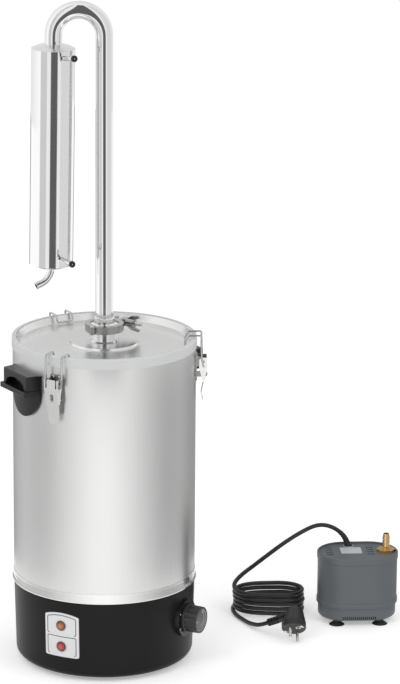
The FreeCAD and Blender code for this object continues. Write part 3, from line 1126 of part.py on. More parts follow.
def make_cord():
    """The cord's lead to its coil, the coil's outer shape, and the tail to the plug."""
    radius = value("cord_radius")
    root, lean = gland_frame()
    exit_point = pump_seat().multVec(root + lean * value("gland_height"))
    lean = pump_seat().Rotation.multVec(lean)
    lead = [exit_point, exit_point + lean * value("cord_start"),
            Vector(353.3, 184, 131.1), Vector(341.4, 184.8, 137.9), Vector(328.4, 185.6, 140),
            Vector(314, 185.8, 137.1), Vector(291, 186.2, 123.6), Vector(268, 186.4, 107.2),
            Vector(243.5, 187, 87.1), Vector(219.5, 187.3, 66), Vector(206.5, 186.5, 54),
            Vector(199, 180.5, 45.5), Vector(195.8, 170.5, 38.3)]

    half_x, half_y = value("coil_half_x"), value("coil_half_y")
    centre = Vector(value("coil_x"), value("coil_y"), 0)

    def oval(grow):
        return Part.Face(Part.Wire(Part.Ellipse(centre, half_x + grow, half_y + grow).toShape()))

    coil = oval(radius).cut(oval(-radius)).extrude(Vector(0, 0, value("cord_radius * 2 * coil_turns")))
    node(formed("cord_coil", coil))

    seat = plug_seat()
    neck = seat.multVec(Vector(-value("plug_neck_length"), 0, -value("plug_neck_back")))
    ahead = seat.Rotation.multVec(Vector(-1, 0, 0))
    tail = [Vector(195.5, 175, 3.4), Vector(199, 156, 3.4), Vector(207.3, 137, 3.4),
            Vector(215.5, 120.5, 3.6), Vector(224, 104.5, 5.4), neck + ahead * value("cord_finish"), neck]
    tubes = [cord_tube(points, radius).cut(coil) for points in (lead, tail)]
    node(formed("pump_cord", Part.makeCompound(tubes)))


def cord_tube(points, radius):
    """A round cord along its runs, each arc as large as its runs allow."""
    radii = []
    for before, corner, after in zip(points, points[1:], points[2:]):
        shorter = min((before - corner).Length, (after - corner).Length)
        turn = math.pi - (before - corner).getAngle(after - corner)
        radii.append(0.45 * shorter / math.tan(turn / 2))
    path = bent_path(points, radii)
    tube = swept(path, radius)
    ratio = tube.Volume / (math.pi * radius ** 2 * path.Length)
    print("cord run", round(path.Length, 1), "arcs", [round(r, 1) for r in radii],
          "volume ratio", round(ratio, 4))
    return tube


def make_plug():
    """Angled mains plug: a round face, a tapered back with a ribbed neck, and its contacts."""
    seat = plug_seat()
    radius, face, back = value("plug_radius"), value("plug_face"), value("plug_back")
    belt = face - value("plug_rim")
    disc = softened(Part.makeCylinder(radius, face - belt, Vector(0, 0, belt)), (face,), value("plug_edge"))
    wide = Part.Wire(Part.makeCircle(radius, Vector(0, 0, belt), up))
    shift = Vector(value("plug_back_shift"), 0, -back)
    narrow = Part.Wire(Part.makeCircle(value("plug_back_radius"), shift, up))
    body = disc.fuse(Part.makeLoft([wide, narrow], True, True))

    level, reach, behind = -value("plug_neck_back"), value("plug_neck_length"), Vector(-1, 0, 0)
    sleeve = value("cord_radius + plug_sleeve")
    run, start = value("plug_sleeve_length"), value("plug_shoulder_start")
    taper_run = reach - start - run + sleeve
    shoulder = Vector(-start, 0, level)
    body = body.fuse(Part.makeCone(value("plug_shoulder"), sleeve + 1, taper_run, shoulder, behind))
    body = body.fuse(Part.makeCylinder(sleeve, run, Vector(run - reach, 0, level), behind))
    rib, rib_width = sleeve + value("plug_rib"), value("plug_rib_width")
    for n in range(int(value("plug_ribs"))):
        spot = Vector(rib_width + value("plug_rib_pitch") * n - reach, 0, level)
        body = body.fuse(Part.makeCylinder(rib, rib_width, spot, behind))
    node(formed("plug_body", body.removeSplitter(), seat))

    contacts = []
    pin_radius, pin_length, sheet_height = value("pin_radius"), value("pin_length"), value("earth_sheet")
    for y in (-1, 1):
        pin = Part.makeCylinder(pin_radius, pin_length, Vector(0, y * value("pin_spacing") / 2, face))
        contacts.append(softened(pin, (face + pin_length,), value("pin_round")))
    width, length = value("earth_width"), value("earth_length")
    for x in (-1, 1):
        corner = Vector(x * (radius - value("earth_inset")) - width / 2, -length / 2, face)
        contacts.append(Part.makeBox(width, length, sheet_height, corner))
    socket = Vector(value("socket_offset"), 0, face)
    ring = Part.makeCylinder(value("socket_radius"), sheet_height, socket)
    contacts.append(ring.cut(Part.makeCylinder(value("socket_bore"), sheet_height, socket)))
    node(formed("plug_pins", Part.makeCompound(contacts), seat))


make_base()
make_heating()
make_controls()
make_inlet()
make_panel()
make_knob()
make_vessel()
make_lid()
make_clamp()
make_riser()
make_condenser()
make_latches()
make_handles()
make_pump()
make_cord()
make_plug()
doc.recompute()

failed = [piece.Label for piece in doc.Objects if {"Invalid", "Error"} & set(piece.State)]
failed += [piece.Label for piece in nodes if piece.Shape.isNull() or not piece.Shape.isValid()]
if failed:
    raise ValueError("failed: " + ", ".join(failed))
os.makedirs("parts", exist_ok=True)
for piece in nodes:
    piece.Shape.exportStep(f"parts/{piece.Label}.step")
print(len(nodes), "nodes,", sum(len(piece.Shape.Solids) for piece in nodes), "solids")
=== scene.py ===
import bpy
import bmesh
import math
from mathutils import Matrix, Vector


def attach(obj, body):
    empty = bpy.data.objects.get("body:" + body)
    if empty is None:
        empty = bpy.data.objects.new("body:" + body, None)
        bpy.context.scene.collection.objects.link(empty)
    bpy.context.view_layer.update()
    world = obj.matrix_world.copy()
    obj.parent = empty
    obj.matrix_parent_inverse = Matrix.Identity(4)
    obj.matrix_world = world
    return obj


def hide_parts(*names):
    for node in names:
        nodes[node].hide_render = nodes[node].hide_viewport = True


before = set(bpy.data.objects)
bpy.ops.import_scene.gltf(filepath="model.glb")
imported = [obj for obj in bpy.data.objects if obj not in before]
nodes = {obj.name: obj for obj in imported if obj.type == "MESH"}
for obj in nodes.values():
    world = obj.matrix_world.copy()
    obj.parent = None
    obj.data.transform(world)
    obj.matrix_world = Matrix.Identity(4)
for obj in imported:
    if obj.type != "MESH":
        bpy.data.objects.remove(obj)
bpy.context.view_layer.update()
print("frame loaded:", len(nodes), "nodes")

scene = bpy.context.scene
scene.view_settings.view_transform = "Standard"

# Metres, +Z up, -Y is the front. An azimuth runs from the front towards +X.


def link(obj):
    scene.collection.objects.link(obj)
    return obj


def meshObject(name, bm, smoothAngle=35):
    bmesh.ops.recalc_face_normals(bm, faces=bm.faces)
    mesh = bpy.data.meshes.new(name)
    bm.to_mesh(mesh)
    bm.free()
    for face in mesh.polygons:
        face.use_smooth = True
    mesh.set_sharp_from_angle(angle=math.radians(smoothAngle))
    return link(bpy.data.objects.new(name, mesh))


def around(azimuth, radius, height=0.0):
    a = math.radians(azimuth)
    return Vector((math.sin(a) * radius, -math.cos(a) * radius, height))


def facing(azimuth, radius, height):
    # local +Z points outwards, local +X to the right and local +Y up
    upright = Matrix.Rotation(math.pi / 2, 4, "X")
    turn = Matrix.Rotation(math.radians(azimuth), 4, "Z") @ upright
    return Matrix.Translation(around(azimuth, radius, height)) @ turn


def along(place, ahead):
    # local +Z points ahead
    turn = Vector(ahead).to_track_quat("Z", "Y").to_matrix().to_4x4()
    return Matrix.Translation(Vector(place)) @ turn


def turnedRing(bm, outline, place, steps=48):
    # a closed outline of (radius, height) turned about the place's Z axis
    rings = []
    for i in range(steps):
        a = 2 * math.pi * i / steps
        rings.append([bm.verts.new(place @ Vector((math.cos(a) * r, math.sin(a) * r, h)))
                      for r, h in outline])
    for i in range(steps):
        here, there = rings[i], rings[(i + 1) % steps]
        for j in range(len(outline)):
            k = (j + 1) % len(outline)
            bm.faces.new((here[j], there[j], there[k], here[k]))


def lowRing(bm, place, inner, outer, rise, low=0.0, steps=40):
    # a ring whose two upper edges are cut off by a quarter of its width
    edge = (outer - inner) * 0.25
    turnedRing(bm, [(inner, low), (outer, low), (outer, rise - edge), (outer - edge, rise),
                    (inner + edge, rise), (inner, rise - edge)], place, steps)


# shares of the radius and of the rise
domeOutline = ((0.02, 0), (1, 0), (0.88, 0.5), (0.6, 0.85), (0.02, 1))


def dome(bm, place, radius, rise, steps=20):
    turnedRing(bm, [(radius * r, rise * h) for r, h in domeOutline], place, steps)


def roundedPlate(bm, length, width, corner, low, high, place, shift=(0, 0), steps=5):
    # a flat plate with round corners in the place's XY plane
    outline = []
    for quarter, (sx, sy) in enumerate(((1, 1), (-1, 1), (-1, -1), (1, -1))):
        cx = sx * (length / 2 - corner) + shift[0]
        cy = sy * (width / 2 - corner) + shift[1]
        for i in range(steps + 1):
            a = math.pi / 2 * (quarter + i / steps)
            outline.append((cx + corner * math.cos(a), cy + corner * math.sin(a)))
    foot = [bm.verts.new(place @ Vector((x, y, low))) for x, y in outline]
    head = [bm.verts.new(place @ Vector((x, y, high))) for x, y in outline]
    bm.faces.new(foot)
    bm.faces.new(head)
    for i in range(len(outline)):
        j = (i + 1) % len(outline)
        bm.faces.new((foot[i], foot[j], head[j], head[i]))


def radialBar(bm, place, angle, inner, outer, width, low, high):
    turn = place @ Matrix.Rotation(math.radians(angle), 4, "Z")
    turn = turn @ Matrix.Translation(((inner + outer) / 2, 0, 0))
    roundedPlate(bm, outer - inner, width, width * 0.45, low, high, turn, steps=3)


def setMaterial(obj, material):
    obj.data.materials.clear()
    obj.data.materials.append(material)


def finished(obj, material, body):
    setMaterial(obj, material)
    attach(obj, body)
    return obj


# camera, as the photograph was taken
cameraLook = {
    "place": (0.1396, -5.0, 1.875), "pitch": 0.2718, "roll": 0.0072, "lens": 187.15, "sensor": 36,
}
cameraData = bpy.data.cameras.new("photoCamera")
cameraData.lens = cameraLook["lens"]
cameraData.sensor_width = cameraLook["sensor"]
camera = link(bpy.data.objects.new("photoCamera", cameraData))
camera.location = cameraLook["place"]
tilt = Matrix.Rotation(math.pi / 2 - cameraLook["pitch"], 3, "X")
camera.rotation_euler = (tilt @ Matrix.Rotation(cameraLook["roll"], 3, "Z")).to_euler()
scene.camera = camera
print("camera set")


# pump cord: up out of the deck, down onto the coil, and from its last turn to the plug
cordShape = {
    "diameter": 0.0066, "length": 1.755,
    "lead": [(0.367765, 0.183495, 0.112138), (0.364523, 0.183269, 0.121065),
             (0.3540, 0.1837, 0.1318), (0.3414, 0.1846, 0.1382), (0.3284, 0.1855, 0.1402),
             (0.3140, 0.1861, 0.1370), (0.2910, 0.1872, 0.1234), (0.2680, 0.1890, 0.1065),
             (0.2450, 0.1925, 0.0868), (0.2225, 0.1985, 0.0662), (0.2050, 0.1965, 0.0530),
             (0.1945, 0.1830, 0.0450), (0.1955, 0.1660, 0.0405), (0.2080, 0.1545, 0.0385)],
    "tail": [(0.2125, 0.2160, 0.0034), (0.1995, 0.2070, 0.0034), (0.1935, 0.1930, 0.0034),
             (0.1930, 0.1775, 0.0034), (0.1955, 0.1630, 0.0034), (0.2000, 0.1495, 0.0034),
             (0.2073, 0.1360, 0.0034), (0.2155, 0.1205, 0.0036), (0.2245, 0.1050, 0.0060),
             (0.234837, 0.091597, 0.009968), (0.246975, 0.085651, 0.016474)],
    "coilCentre": (0.248, 0.185), "coilHalf": (0.054, 0.034),
    "pointsPerTurn": 14, "coilPoints": 65, "coilStart": 0.175,
    "topLevel": 0.0372, "bottomLevel": 0.0034,
    "turnSize": [1.0, 0.985, 1.01, 0.975, 1.0],
    "turnShift": [(0.0, 0.0012), (-0.001, -0.0006), (0.0012, 0.0004), (0.0, -0.001), (0.0, 0.0)],
    "stepsPerPoint": 6, "bevelSteps": 4,
}


def ovalPoint(share, halfLong, halfShort):
    # a point on an oval with two straight sides, from its left end over the front
    straight = halfLong - halfShort
    quarter = math.pi * halfShort / 2
    run = (share % 1) * (4 * straight + 4 * quarter)
    if run < quarter:
        a = math.pi + run / halfShort
        return -straight + halfShort * math.cos(a), halfShort * math.sin(a)
    run -= quarter
    if run < 2 * straight:
        return run - straight, -halfShort
    run -= 2 * straight
    if run < 2 * quarter:
        a = run / halfShort - math.pi / 2
        return straight + halfShort * math.cos(a), halfShort * math.sin(a)
    run -= 2 * quarter
    if run < 2 * straight:
        return straight - run, halfShort
    a = math.pi / 2 + (run - 2 * straight) / halfShort
    return -straight + halfShort * math.cos(a), halfShort * math.sin(a)


def coilPoints(shape):
    # loose turns from the top down, each a little larger, smaller or aside of the last
    points = []
    sizes, shifts = shape["turnSize"], shape["turnShift"]
    halfLong, halfShort = shape["coilHalf"]
    drop = shape["bottomLevel"] - shape["topLevel"]
    for i in range(shape["coilPoints"] + 1):
        travelled = i / shape["pointsPerTurn"]
        turn = min(int(travelled), len(sizes) - 1)
        after = min(turn + 1, len(sizes) - 1)
        part = travelled - turn
        size = sizes[turn] * (1 - part) + sizes[after] * part
        aside = [shifts[turn][k] * (1 - part) + shifts[after][k] * part for k in (0, 1)]
        x, y = ovalPoint(shape["coilStart"] + travelled, halfLong * size, halfShort * size)
        level = shape["topLevel"] + drop * i / shape["coilPoints"]
        points.append((shape["coilCentre"][0] + aside[0] + x,
                       shape["coilCentre"][1] + aside[1] + y, level))
    return points


def buildCord(shape):
    points = shape["lead"] + coilPoints(shape) + shape["tail"]
    curve = bpy.data.curves.new("pumpCord", "CURVE")
    curve.dimensions = "3D"
    spline = curve.splines.new("NURBS")
    spline.points.add(len(points) - 1)
    for point, place in zip(spline.points, points):
        point.co = (*place, 1)
        point.radius = shape["diameter"] / 2  # under a bevel of 1, so that the bounds fit
    spline.order_u = 3
    spline.use_endpoint_u = True
    spline.resolution_u = shape["stepsPerPoint"]
    curve.bevel_depth = 1
    curve.bevel_resolution = shape["bevelSteps"]
    curve.use_fill_caps = True
    return link(bpy.data.objects.new("pumpCord", curve))


cordLine = buildCord(cordShape)
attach(cordLine, "pump")
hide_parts("pump_cord", "cord_coil")


# soft sleeve that tapers along the cord where it leaves the deck
sleeveShape = {
    "length": 0.022, "foot": 0.0047, "tip": 0.0036, "steps": 20, "sides": 28,
    "ribEvery": 4, "ribCut": 0.00045, "slack": 1e-9,
}


def cordCentre(line):
    # the cord's own centreline, read from its spline without the bevel
    bare = line.data.copy()
    bare.bevel_depth = 0
    holder = bpy.data.objects.new("cordCentre", bare)
    mesh = bpy.data.meshes.new_from_object(holder)
    points = [vertex.co.copy() for vertex in mesh.vertices]
    bpy.data.objects.remove(holder)
    bpy.data.meshes.remove(mesh)
    bpy.data.curves.remove(bare)
    return points


def buildSleeve(shape):
    line = cordCentre(cordLine)
    travelled, stations = 0.0, []
    for here, there in zip(line, line[1:]):
        if travelled > shape["length"]:
            break
        stations.append((travelled, here, (there - here).normalized()))
        travelled += (there - here).length
    reach = stations[-1][0]
    sides = shape["sides"]
    bm = bmesh.new()
    rings = []
    for i in range(shape["steps"] + 1):
        want = reach * i / shape["steps"]
        after = next(k for k, station in enumerate(stations)
                     if station[0] >= want - shape["slack"])
        before = max(after - 1, 0)
        gap = stations[after][0] - stations[before][0]
        part = (want - stations[before][0]) / gap if gap else 0
        centre = stations[before][1].lerp(stations[after][1], part)
        ahead = stations[before][2].lerp(stations[after][2], part).normalized()
        side = ahead.cross(Vector((0, 1, 0))).normalized()
        upwards = side.cross(ahead)
        radius = shape["foot"] + (shape["tip"] - shape["foot"]) * i / shape["steps"]
        if i % shape["ribEvery"] == shape["ribEvery"] - 1:
            radius -= shape["ribCut"]
        rings.append([bm.verts.new(centre + (side * math.cos(a) + upwards * math.sin(a)) * radius)
                      for a in (2 * math.pi * k / sides for k in range(sides))])
    for here, there in zip(rings, rings[1:]):
        for k in range(sides):
            j = (k + 1) % sides
            bm.faces.new((here[k], here[j], there[j], there[k]))
    bm.faces.new(rings[0])
    bm.faces.new(rings[-1])
    return meshObject("cordSleeve", bm)


cordSleeve = buildSleeve(sleeveShape)
print("cord laid")


# shared effects
def newGroup(name, inputs, outputs):
    group = bpy.data.node_groups.new(name, "ShaderNodeTree")
    for socketName, kind, default in inputs:
        socket = group.interface.new_socket(socketName, in_out="INPUT", socket_type=kind)
        socket.default_value = default
    for socketName, kind in outputs:
        group.interface.new_socket(socketName, in_out="OUTPUT", socket_type=kind)
    return group, group.nodes.new("NodeGroupInput"), group.nodes.new("NodeGroupOutput")


def addNode(tree, kind, links=(), **settings):
    made = tree.nodes.new(kind)
    for key, setting in settings.items():
        setattr(made, key, setting)
    for socket, source in links:
        if hasattr(source, "links"):
            tree.links.new(source, made.inputs[socket])
        else:
            made.inputs[socket].default_value = source
    return made


def addMath(tree, operation, first, second=0.0):
    sockets = [(0, first), (1, second)]
    return addNode(tree, "ShaderNodeMath", sockets, operation=operation).outputs[0]


def addVector(tree, operation, *sources):
    return addNode(tree, "ShaderNodeVectorMath", list(enumerate(sources)), operation=operation)


def azimuthOf(tree, parts):
    # the angle from the front, in radians
    ahead = addMath(tree, "MULTIPLY", parts.outputs["Y"], -1.0)
    return addMath(tree, "ARCTAN2", parts.outputs["X"], ahead)


def blended(tree, share, low, high):
    sockets = [(0, share), (6, low), (7, high)]
    return addNode(tree, "ShaderNodeMix", sockets, data_type="RGBA").outputs[2]


def buildGrain(name, turned):
    # long scratches along one axis, or around Z when turned
    group, start, end = newGroup(name, [
        ("Stretch", "NodeSocketVector", (1, 1, 0.02)), ("Density", "NodeSocketFloat", 900.0),
        ("Roughness", "NodeSocketFloat", 0.3), ("Spread", "NodeSocketFloat", 0.08)],
        [("Roughness", "NodeSocketFloat"), ("Height", "NodeSocketFloat"),
         ("Tone", "NodeSocketFloat")])
    place = addNode(group, "ShaderNodeTexCoord").outputs["Object"]
    source = place
    if turned:
        parts = addNode(group, "ShaderNodeSeparateXYZ", [(0, place)])
        flat = addVector(group, "MULTIPLY", place, (1, 1, 0))
        reach = addVector(group, "LENGTH", flat.outputs[0])
        source = addNode(group, "ShaderNodeCombineXYZ", [
            (0, reach.outputs["Value"]), (1, azimuthOf(group, parts)),
            (2, parts.outputs["Z"])]).outputs[0]
    stretched = addVector(group, "MULTIPLY", source, start.outputs["Stretch"])
    fine = addNode(group, "ShaderNodeTexNoise", [
        ("Vector", stretched.outputs[0]), ("Scale", start.outputs["Density"]), ("Detail", 3.0),
        ("Roughness", 0.6)]).outputs["Fac"]
    cloud = addNode(group, "ShaderNodeTexNoise", [
        ("Vector", place), ("Scale", 9.0), ("Detail", 2.0)])
    swing = addMath(group, "MULTIPLY", addMath(group, "SUBTRACT", fine, 0.5),
                    start.outputs["Spread"])
    patches = addNode(group, "ShaderNodeMapRange", [
        ("Value", cloud.outputs["Fac"]), ("From Min", 0.3), ("From Max", 0.7),
        ("To Min", -0.02), ("To Max", 0.02)])
    rough = addMath(group, "ADD", addMath(group, "ADD", swing, start.outputs["Roughness"]),
                    patches.outputs[0])
    tone = addNode(group, "ShaderNodeMapRange", [
        ("Value", fine), ("From Min", 0.2), ("From Max", 0.8)])
    group.links.new(rough, end.inputs["Roughness"])
    group.links.new(fine, end.inputs["Height"])
    group.links.new(tone.outputs[0], end.inputs["Tone"])
    return group


def buildMoulded():
    # moulded skin: small grain, cloudy roughness and a little dust
    group, start, end = newGroup("mouldedSkin", [
        ("Colour", "NodeSocketColor", (0.02, 0.02, 0.02, 1)),
        ("Dust", "NodeSocketColor", (0.3, 0.3, 0.3, 1)),
        ("Dust Amount", "NodeSocketFloat", 0.02), ("Grain", "NodeSocketFloat", 1500.0),
        ("Roughness", "NodeSocketFloat", 0.4), ("Spread", "NodeSocketFloat", 0.08)],
        [("Colour", "NodeSocketColor"), ("Roughness", "NodeSocketFloat"),
         ("Height", "NodeSocketFloat")])
    place = addNode(group, "ShaderNodeTexCoord").outputs["Object"]
    grain = addNode(group, "ShaderNodeTexNoise", [
        ("Vector", place), ("Scale", start.outputs["Grain"]), ("Detail", 2.0)])
    cloud = addNode(group, "ShaderNodeTexNoise", [
        ("Vector", place), ("Scale", 14.0), ("Detail", 4.0), ("Roughness", 0.6)]).outputs["Fac"]
    swing = addMath(group, "MULTIPLY", addMath(group, "SUBTRACT", cloud, 0.5),
                    start.outputs["Spread"])
    rough = addMath(group, "ADD", swing, start.outputs["Roughness"])
    dusty = addMath(group, "MULTIPLY", cloud, start.outputs["Dust Amount"])
    colour = blended(group, dusty, start.outputs["Colour"], start.outputs["Dust"])
    group.links.new(colour, end.inputs["Colour"])
    group.links.new(rough, end.inputs["Roughness"])
    group.links.new(grain.outputs["Fac"], end.inputs["Height"])
    return group


brushedGrain = buildGrain("brushedGrain", False)
spunGrain = buildGrain("spunGrain", True)
mouldedSkin = buildMoulded()

skinLook = {"bumpDistance": 0.0002, "lowTone": 0.96, "milkyScale": 0.003}


def newMaterial(name):
    material = bpy.data.materials.new(name)
    material.use_nodes = True
    return material, material.node_tree, material.node_tree.nodes["Principled BSDF"]


def bumped(tree, shader, height, strength):
    bump = addNode(tree, "ShaderNodeBump", [
        ("Height", height), ("Strength", strength), ("Distance", skinLook["bumpDistance"])])
    tree.links.new(bump.outputs["Normal"], shader.inputs["Normal"])


def metal(name, colour, roughness, stretch=(1, 1, 1), density=900.0, spread=0.08, bump=0.05,
          spun=False):
    material, tree, shader = newMaterial(name)
    shader.inputs["Metallic"].default_value = 1
    grain = addNode(tree, "ShaderNodeGroup", node_tree=spunGrain if spun else brushedGrain)
    grain.inputs["Stretch"].default_value = stretch
    grain.inputs["Density"].default_value = density
    grain.inputs["Roughness"].default_value = roughness
    grain.inputs["Spread"].default_value = spread
    low = tuple(part * skinLook["lowTone"] for part in colour) + (1,)
    tint = blended(tree, grain.outputs["Tone"], low, colour + (1,))
    tree.links.new(tint, shader.inputs["Base Color"])
    tree.links.new(grain.outputs["Roughness"], shader.inputs["Roughness"])
    bumped(tree, shader, grain.outputs["Height"], bump)
    return material


def plastic(name, colour, roughness, spread=0.08, grain=1500.0, bump=0.08, dust=0.02, milky=0.0,
            gloss=0.5):
    material, tree, shader = newMaterial(name)
    shader.inputs["Specular IOR Level"].default_value = gloss
    shader.inputs["Subsurface Weight"].default_value = milky
    shader.inputs["Subsurface Scale"].default_value = skinLook["milkyScale"]
    shader.inputs["Subsurface Radius"].default_value = (1, 1, 1)
    skin = addNode(tree, "ShaderNodeGroup", node_tree=mouldedSkin)
    skin.inputs["Colour"].default_value = colour + (1,)
    skin.inputs["Dust Amount"].default_value = dust
    skin.inputs["Grain"].default_value = grain
    skin.inputs["Roughness"].default_value = roughness
    skin.inputs["Spread"].default_value = spread
    tree.links.new(skin.outputs["Colour"], shader.inputs["Base Color"])
    tree.links.new(skin.outputs["Roughness"], shader.inputs["Roughness"])
    bumped(tree, shader, skin.outputs["Height"], bump)
    return material


# metals: colour, roughness, and the axes along which the grain is drawn out
satinSteel = metal("satinSteel", (0.74, 0.74, 0.735), 0.3, (1, 1, 0.015), density=700, bump=0.03)
lidSteel = metal("lidSteel", (0.76, 0.76, 0.755), 0.26, (1, 0.004, 1), density=700, bump=0.03,
                 spun=True)
capSteel = metal("capSteel", (0.76, 0.76, 0.755), 0.2, density=500, spread=0.05, bump=0.02)
polishedSteel = metal("polishedSteel", (0.82, 0.82, 0.82), 0.07, (1, 1, 0.02), density=500,
                      spread=0.03, bump=0.01)
wireSteel = metal("wireSteel", (0.56, 0.56, 0.555), 0.1, density=300, spread=0.04, bump=0.01)
# darkened steel for the latch bases: painted shade under the levers and inside their slots
latchShadeSteel = metal("latchShadeSteel", (0.36, 0.36, 0.355), 0.32, density=300, spread=0.1, bump=0.03)
pressedSteel = metal("pressedSteel", (0.8, 0.8, 0.79), 0.16, (1, 1, 0.05), density=400,
                     spread=0.05, bump=0.02)
clampSteel = metal("clampSteel", (0.44, 0.44, 0.435), 0.2, density=260, bump=0.06)
weldSteel = metal("weldSteel", (0.62, 0.62, 0.6), 0.34, density=420, spread=0.2, bump=0.3)
zincSheet = metal("zincSheet", (0.6, 0.62, 0.63), 0.35, density=60, spread=0.15)
castAluminium = metal("castAluminium", (0.6, 0.61, 0.62), 0.5, density=300, spread=0.1, bump=0.3)
elementSteel = metal("elementSteel", (0.3, 0.28, 0.26), 0.45, density=200, spread=0.2, bump=0.1)
brass = metal("brass", (0.83, 0.56, 0.27), 0.24, (0.05, 0.05, 1), spread=0.1)
nickel = metal("nickel", (0.82, 0.81, 0.78), 0.12, (1, 1, 0.05), density=500, spread=0.04,
               bump=0.01)

# plastics, rubber, paint and print
labelFoil = plastic("labelFoil", (0.57, 0.58, 0.59), 0.34, spread=0.05, grain=600.0, bump=0.02)
baseBlack = plastic("baseBlack", (0.008, 0.008, 0.009), 0.36, bump=0.12, gloss=0.13)
handleBlack = plastic("handleBlack", (0.008, 0.008, 0.009), 0.26, bump=0.03, dust=0.01, gloss=0.35)
knobBlack = plastic("knobBlack", (0.014, 0.014, 0.015), 0.3, bump=0.05)
knobGrey = plastic("knobGrey", (0.1, 0.1, 0.1), 0.35, bump=0.05)
pumpGrey = plastic("pumpGrey", (0.118, 0.131, 0.142), 0.42, bump=0.12)
greyPlastic = plastic("greyPlastic", (0.25, 0.26, 0.27), 0.45)
collarGrey = plastic("collarGrey", (0.42, 0.43, 0.44), 0.4)
footRubber = plastic("footRubber", (0.012, 0.012, 0.012), 0.6, bump=0.2)
cordBlack = plastic("cordBlack", (0.01, 0.01, 0.011), 0.33, bump=0.05)
# black put where there is only shade: painted shade in the stubs' mouths and inside the spout
shadeBlack = plastic("shadeBlack", (0.004, 0.004, 0.004), 0.5, dust=0.0)
siliconeMilk = plastic("siliconeMilk", (0.66, 0.67, 0.67), 0.32, bump=0.02, dust=0.0, milky=0.2)
printWhite = plastic("printWhite", (0.8, 0.81, 0.82), 0.3, bump=0.02, dust=0.0)
printDark = plastic("printDark", (0.045, 0.045, 0.047), 0.35, bump=0.02, dust=0.0)
# pale print marks, also used for the painted highlight ring on the knob's rim
lightPrintAndHighlight = plastic("lightPrintAndHighlight", (0.55, 0.55, 0.54), 0.4, bump=0.02, dust=0.0)

# what each carried-over node is made of
pieceFinish = {
    "vessel": satinSteel, "skirt_ring": pressedSteel, "lid": lidSteel, "lid_neck": polishedSteel,
    "lid_seal": siliconeMilk, "ferrule_gasket": siliconeMilk, "riser_ferrule": polishedSteel,
    "riser_tube": polishedSteel, "condenser_jacket": polishedSteel,
    "condenser_top_cap": capSteel, "condenser_bottom_cap": capSteel,
    "condenser_tubes": pressedSteel, "water_inlet_stub": polishedSteel,
    "water_outlet_stub": polishedSteel, "distillate_spout": polishedSteel,
    "clamp_front": clampSteel, "clamp_back": clampSteel, "clamp_pins": polishedSteel,
    "clamp_bolt": polishedSteel, "wing_nut": clampSteel, "base_shell": baseBlack,
    "base_plate": zincSheet, "foot_ring": footRubber, "base_stud": zincSheet,
    "heater_plate": castAluminium, "heater_element": elementSteel, "thermal_cutout": zincSheet,
    "thermostat_body": greyPlastic, "terminal_block": greyPlastic, "power_inlet": handleBlack,
    "indicator_panel": printWhite, "dial_plate": handleBlack, "thermostat_knob": knobBlack,
    "handle_left": handleBlack, "handle_right": handleBlack, "handle_screws": nickel,
    "pump_housing": pumpGrey, "pump_deck": pumpGrey, "pump_base": pumpGrey,
    "pump_feet": footRubber, "hose_nipple": brass, "pump_motor": greyPlastic,
    "pump_impeller": greyPlastic, "cord_gland": cordBlack, "plug_body": cordBlack,
    "plug_pins": nickel,
}
for n in (1, 2, 3):
    # the latch bases get the darkened steel, painted shade under the levers
    pieceFinish[f"latch_base_{n}"] = latchShadeSteel
    pieceFinish[f"latch_lever_{n}"] = pressedSteel
    pieceFinish[f"latch_bail_{n}"] = wireSteel

for name, finish in pieceFinish.items():
    setMaterial(nodes[name], finish)
cordLine.data.materials.append(cordBlack)
finished(cordSleeve, cordBlack, "pump")


# lamps: translucent caps, with a painted glow in the middle and painted shade towards a ragged rim
lampLook = {
    "azimuth": -26.5, "reach": 0.13, "radius": 0.0076,
    "facetScale": 420.0, "raggedShare": 0.16, "paintedGlowShare": 0.3,
    "roughness": 0.16, "coat": 0.6, "coatRoughness": 0.05,
    "lamps": {
        # each lamp's bright colour is a painted glow, and its dark rim colour is painted shade
        "lamp_amber": {"paintedGlow": (0.62, 0.17, 0.02), "rim": (0.05, 0.012, 0.004),
                       "height": 0.0845},
        "lamp_red": {"paintedGlow": (0.75, 0.05, 0.04), "rim": (0.06, 0.004, 0.004), "height": 0.052},
    },
}


def lampMaterial(name, look, paintedGlow, rim, height):
    material, tree, shader = newMaterial(name)
    radius = look["radius"]
    centre = tuple(around(look["azimuth"], look["reach"], height))
    axis = tuple(around(look["azimuth"], 1))
    place = addNode(tree, "ShaderNodeTexCoord").outputs["Object"]
    offset = addVector(tree, "SUBTRACT", place, centre).outputs[0]
    depth = addVector(tree, "DOT_PRODUCT", offset, axis)
    back = addNode(tree, "ShaderNodeVectorMath", [(0, axis), (3, depth.outputs["Value"])],
                   operation="SCALE")
    across = addVector(tree, "SUBTRACT", offset, back.outputs[0])
    reach = addVector(tree, "LENGTH", across.outputs[0])
    facets = addNode(tree, "ShaderNodeTexVoronoi", [
        ("Vector", place), ("Scale", look["facetScale"])])
    ragged = addMath(tree, "ADD", reach.outputs["Value"],
                     addMath(tree, "MULTIPLY", facets.outputs["Distance"],
                             radius * look["raggedShare"]))
    share = addNode(tree, "ShaderNodeMapRange", [
        ("Value", ragged), ("From Min", radius * look["paintedGlowShare"]), ("From Max", radius)])
    # painted glow in the middle, fading to painted shade at the rim
    colour = blended(tree, share.outputs[0], paintedGlow + (1,), rim + (1,))
    tree.links.new(colour, shader.inputs["Base Color"])
    shader.inputs["Roughness"].default_value = look["roughness"]
    shader.inputs["Coat Weight"].default_value = look["coat"]
    shader.inputs["Coat Roughness"].default_value = look["coatRoughness"]
    return material


for name, lamp in lampLook["lamps"].items():
    setMaterial(nodes[name], lampMaterial(name + "PaintedGlowLens", lampLook, **lamp))
print("materials set")


